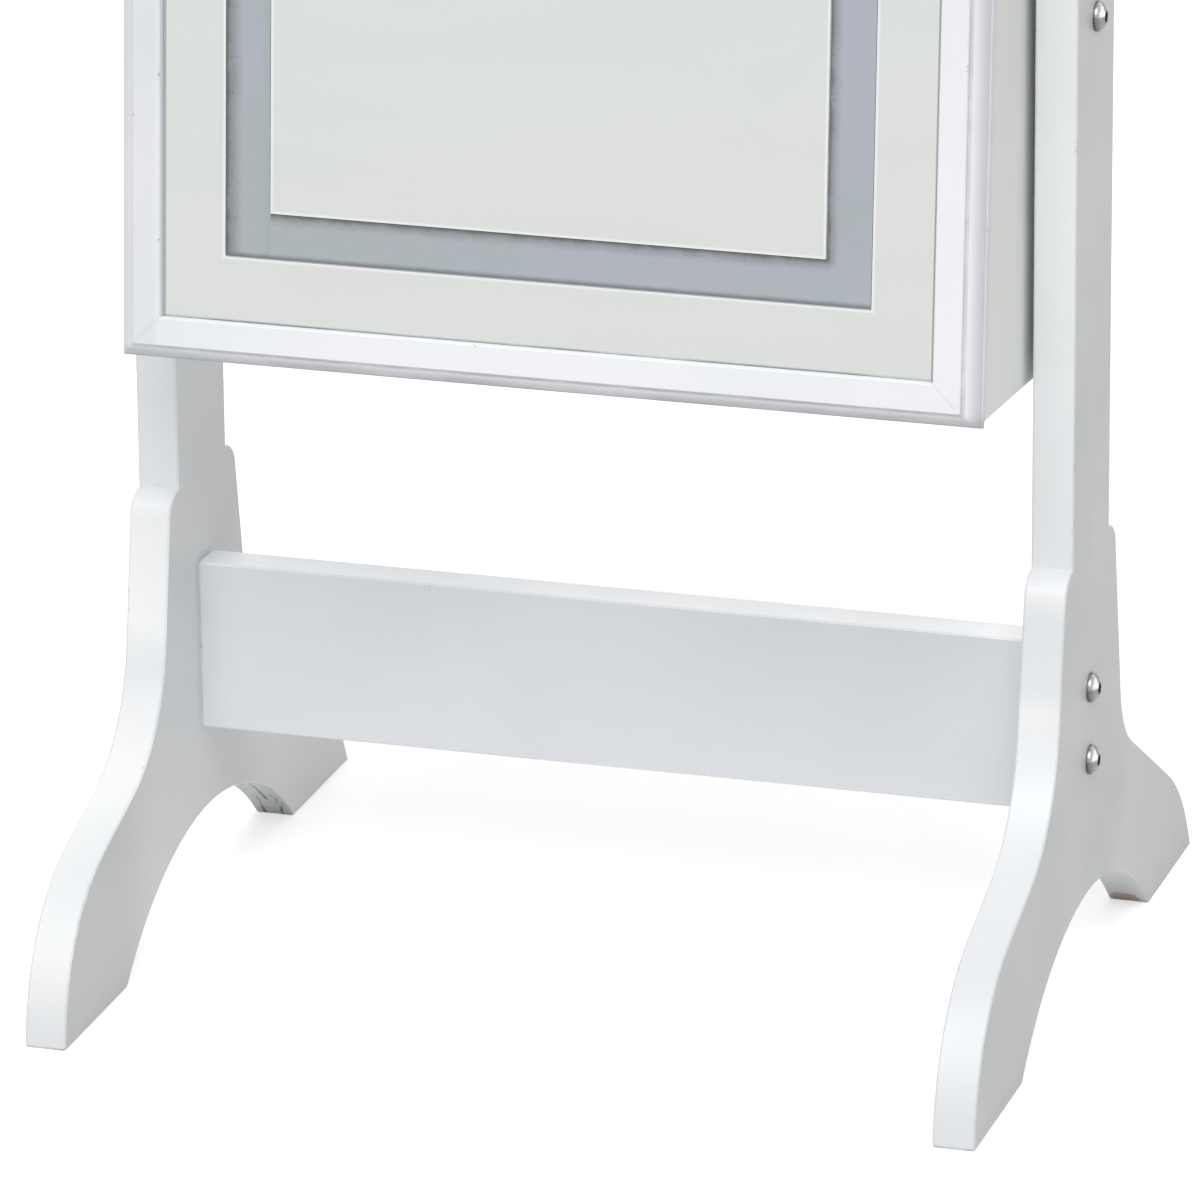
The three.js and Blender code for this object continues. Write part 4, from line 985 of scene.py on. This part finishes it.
def add_filler(name, body, finish, gap, wanted):
    """Fills the fine gap beyond a node's wanted end faces, so that the joint reads as painted over."""
    upright = CABINET.to_3x3().inverted()
    shape = bmesh.new()
    shape.from_mesh(nodes[name].data)
    bmesh.ops.remove_doubles(shape, verts=shape.verts, dist=0.01 * MM)
    others = [face for face in shape.faces if not wanted(upright @ face.normal)]
    bmesh.ops.delete(shape, geom=others, context="FACES")
    outwards = {face.normal.x > 0: face.normal.copy() for face in shape.faces}
    ends = list(shape.faces)
    rims = [edge for edge in shape.edges if len(edge.link_faces) == 1]
    far = {}
    for vertex in list(shape.verts):
        way = outwards[vertex.co.x > 0] * gap
        vertex.co += way * FILLER_FROM
        far[vertex] = shape.verts.new(vertex.co + way * FILLER_THICK)
    for face in ends:
        shape.faces.new([far[vertex] for vertex in face.verts])
    for edge in rims:
        a, b = edge.verts
        shape.faces.new((a, b, far[b], far[a]))
    new_piece(f"{name}_filler", finished(shape, "filler"), body, finish)


def add_fillers():
    def is_mitre(normal):
        return abs(normal.y) < 0.1 and 0.6 < abs(normal.x) < 0.8

    def is_end(normal):
        return abs(normal.x) > 0.99

    for name in ("door_rail_bottom", "door_rail_top"):
        add_filler(name, "door", MITRE_WHITE, MITRE_GAP, is_mitre)
    add_filler("stretcher", "stand", STRETCHER_WHITE, STRETCHER_GAP, is_end)


# ---------- ring pad ----------
def roll_rings(middle, draw):
    """One roll's rings of points in the cabinet's axes: full along its length, gathered at both ends."""
    full = PAD_HALF - ROLL_END
    last = ROLL_STATIONS - 1
    stations = [(-full + 2 * full * i / last, 1.0) for i in range(ROLL_STATIONS)]
    for angle in ROLL_END_ANGLES:
        turn = math.radians(angle)
        reach = full + ROLL_END * math.sin(turn)
        share = math.cos(turn) ** ROLL_SQUARENESS
        stations.append((reach, share))
        stations.insert(0, (-reach, share))
    swell = 1.0
    rings = []
    for x, share in stations:
        swell += draw.uniform(-0.012, 0.012) + (1.0 - swell) * 0.35
        sag = draw.uniform(-0.10, 0.10) * MM
        ring = []
        for i in range(ROLL_AROUND):
            angle = 2 * math.pi * i / ROLL_AROUND
            c, s = (math.cos(angle), math.sin(angle))
            depth = math.copysign(abs(c) ** ROLL_SQUARENESS, c) * ROLL_DEEP * share * swell
            height = math.copysign(abs(s) ** ROLL_SQUARENESS, s) * ROLL_HIGH * share * swell
            ring.append((x, PAD_DEPTH + depth, middle + height + sag))
        rings.append(ring)
    return rings


def roll_pad_mesh():
    draw = random.Random(11)
    shape = bmesh.new()
    for roll in range(ROLLS):
        middle = PAD_LOW + (roll + 0.5) * ROLL_PITCH
        rings = [[shape.verts.new(point) for point in ring] for ring in roll_rings(middle, draw)]
        for a, b in zip(rings, rings[1:]):
            for i in range(ROLL_AROUND):
                j = (i + 1) % ROLL_AROUND
                shape.faces.new((a[i], b[i], b[j], a[j]))
        for ring, inwards in ((rings[0], 1.6 * MM), (rings[-1], -1.6 * MM)):
            tip = shape.verts.new((ring[0].co.x + inwards, PAD_DEPTH, middle))
            for i in range(ROLL_AROUND):
                shape.faces.new((ring[i], ring[(i + 1) % ROLL_AROUND], tip))
    return smooth(finished(shape, "ring_rolls"))


def puff(mesh):
    """Fills the rolls out by a short cloth run under inner pressure; each keeps to its own room."""
    scene = bpy.context.scene
    trial = bpy.data.objects.new("puffing", mesh.copy())
    scene.collection.objects.link(trial)
    cloth = trial.modifiers.new("cloth", "CLOTH")
    cloth.settings.quality = 6
    cloth.settings.mass = 0.15
    cloth.settings.use_pressure = True
    cloth.settings.uniform_pressure_force = 4.0
    cloth.settings.effector_weights.gravity = 0.0
    cloth.point_cache.frame_end = PUFF_FRAMES
    for step in range(1, PUFF_FRAMES + 1):
        scene.frame_set(step)
    puffed = trial.evaluated_get(bpy.context.evaluated_depsgraph_get()).to_mesh()
    for start, end in zip(mesh.vertices, puffed.vertices):
        way = end.co - start.co
        if way.length > PUFF_CAP:
            way *= PUFF_CAP / way.length
        place = start.co + way
        roll = min(ROLLS - 1, max(0, int((start.co.z - PAD_LOW) / ROLL_PITCH)))
        middle = PAD_LOW + (roll + 0.5) * ROLL_PITCH
        room = ROLL_PITCH / 2 - 0.05 * MM
        place.z = min(middle + room, max(middle - room, place.z))
        place.y = min(ROLL_ROOM[1], max(ROLL_ROOM[0], place.y))
        place.x = min(PAD_HALF, max(-PAD_HALF, place.x))
        start.co = place
    bpy.data.objects.remove(trial)
    scene.frame_set(1)


def add_ring_pad():
    mesh = roll_pad_mesh()
    puff(mesh)
    pad = new_piece("ring_rolls", mesh, "cabinet", VELVET, CABINET)
    finer = pad.modifiers.new("finer", "SUBSURF")
    finer.levels = 1
    finer.render_levels = 1
    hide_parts("ring_pad")
    outline = rounded_outline(-PAD_HALF, PAD_HALF, PAD_LOW, PAD_LOW + ROLLS * ROLL_PITCH, 2 * MM)
    add_card("ring_card", outline, 0.6 * MM, axes((0, INNER_BACK, 0), (1, 0, 0), (0, 0, 1)))


add_bolts()
add_screws()
add_lining()
add_fillers()
add_ring_pad()


# ---------- floor, light and camera ----------
def studio_floor():
    """A pale matt floor: camera, mirror and glass rays also see the light that makes it white."""
    mesh = bpy.data.meshes.new("floor")
    reach = FLOOR_REACH
    corners = [(-reach, -reach, 0), (reach, -reach, 0), (reach, reach, 0), (-reach, reach, 0)]
    mesh.from_pydata(corners, [], [(0, 1, 2, 3)])
    floor = bpy.data.objects.new("floor", mesh)
    bpy.context.scene.collection.objects.link(floor)
    pale = Finish("floor_pale", tone(232, 232, 231), 0.9, Specular_IOR_Level=0.0)
    mottle = pale.step(pale.noise(3, 3), 0.3, 0.7)
    pale.set("Base Color", pale.blend(mottle, tone(232, 232, 231), tone(230, 230, 229)))
    rays = pale.add("LightPath").outputs
    mirrored = pale.math("ADD", rays["Is Glossy Ray"], rays["Is Transmission Ray"], clamp=True)
    seen = pale.times(rays["Is Camera Ray"], FLOOR_SEEN)
    seen = pale.plus(seen, pale.times(mirrored, FLOOR_MIRRORED))
    pale.set("Emission Color", (1, 1, 1, 1))
    pale.set("Emission Strength", seen)
    mesh.materials.append(pale.material)


def sky():
    """An even pale surround for light, seen as plain white by camera, mirror and glass rays."""
    world = bpy.data.worlds.new("surround")
    bpy.context.scene.world = world
    world.use_nodes = True
    tree = world.node_tree
    background = next(n for n in tree.nodes if n.type == "BACKGROUND")
    rays = tree.nodes.new("ShaderNodeLightPath")
    total = rays.outputs["Is Camera Ray"]
    for name in ("Is Glossy Ray", "Is Transmission Ray"):
        add = tree.nodes.new("ShaderNodeMath")
        add.operation = "ADD"
        add.use_clamp = True
        tree.links.new(total, add.inputs[0])
        tree.links.new(rays.outputs[name], add.inputs[1])
        total = add.outputs[0]
    level = tree.nodes.new("ShaderNodeMapRange")
    level.inputs["To Min"].default_value = SKY_LEVEL
    level.inputs["To Max"].default_value = 1.0
    tree.links.new(total, level.inputs["Value"])
    tree.links.new(level.outputs["Result"], background.inputs["Strength"])
    background.inputs["Color"].default_value = (1, 1, 1, 1)


def lamps():
    for name, (strength, source, softness) in SUNS.items():
        data = bpy.data.lights.new(name, "SUN")
        data.energy = strength
        data.angle = softness
        sun = bpy.data.objects.new(name, data)
        bpy.context.scene.collection.objects.link(sun)
        sun.rotation_mode = "QUATERNION"
        sun.rotation_quaternion = source.to_track_quat("Z", "Y")


def camera():
    forward = Vector((
        -math.sin(CAMERA_YAW) * math.cos(CAMERA_PITCH),
        math.cos(CAMERA_YAW) * math.cos(CAMERA_PITCH),
        -math.sin(CAMERA_PITCH),
    ))
    level = Vector((math.cos(CAMERA_YAW), math.sin(CAMERA_YAW), 0))
    down = forward.cross(level)
    right = math.cos(CAMERA_ROLL) * level + math.sin(CAMERA_ROLL) * down
    up = -(math.cos(CAMERA_ROLL) * down - math.sin(CAMERA_ROLL) * level)
    turn = Matrix((right, up, -forward)).transposed()
    data = bpy.data.cameras.new("camera")
    data.sensor_width = SENSOR
    data.lens = LENS
    data.clip_end = CAMERA_REACH
    view = bpy.data.objects.new("camera", data)
    bpy.context.scene.collection.objects.link(view)
    view.matrix_world = Matrix.Translation(CAMERA_PLACE) @ turn.to_4x4()
    bpy.context.scene.camera = view


studio_floor()
sky()
lamps()
camera()
bpy.context.scene.view_settings.view_transform = "Standard"
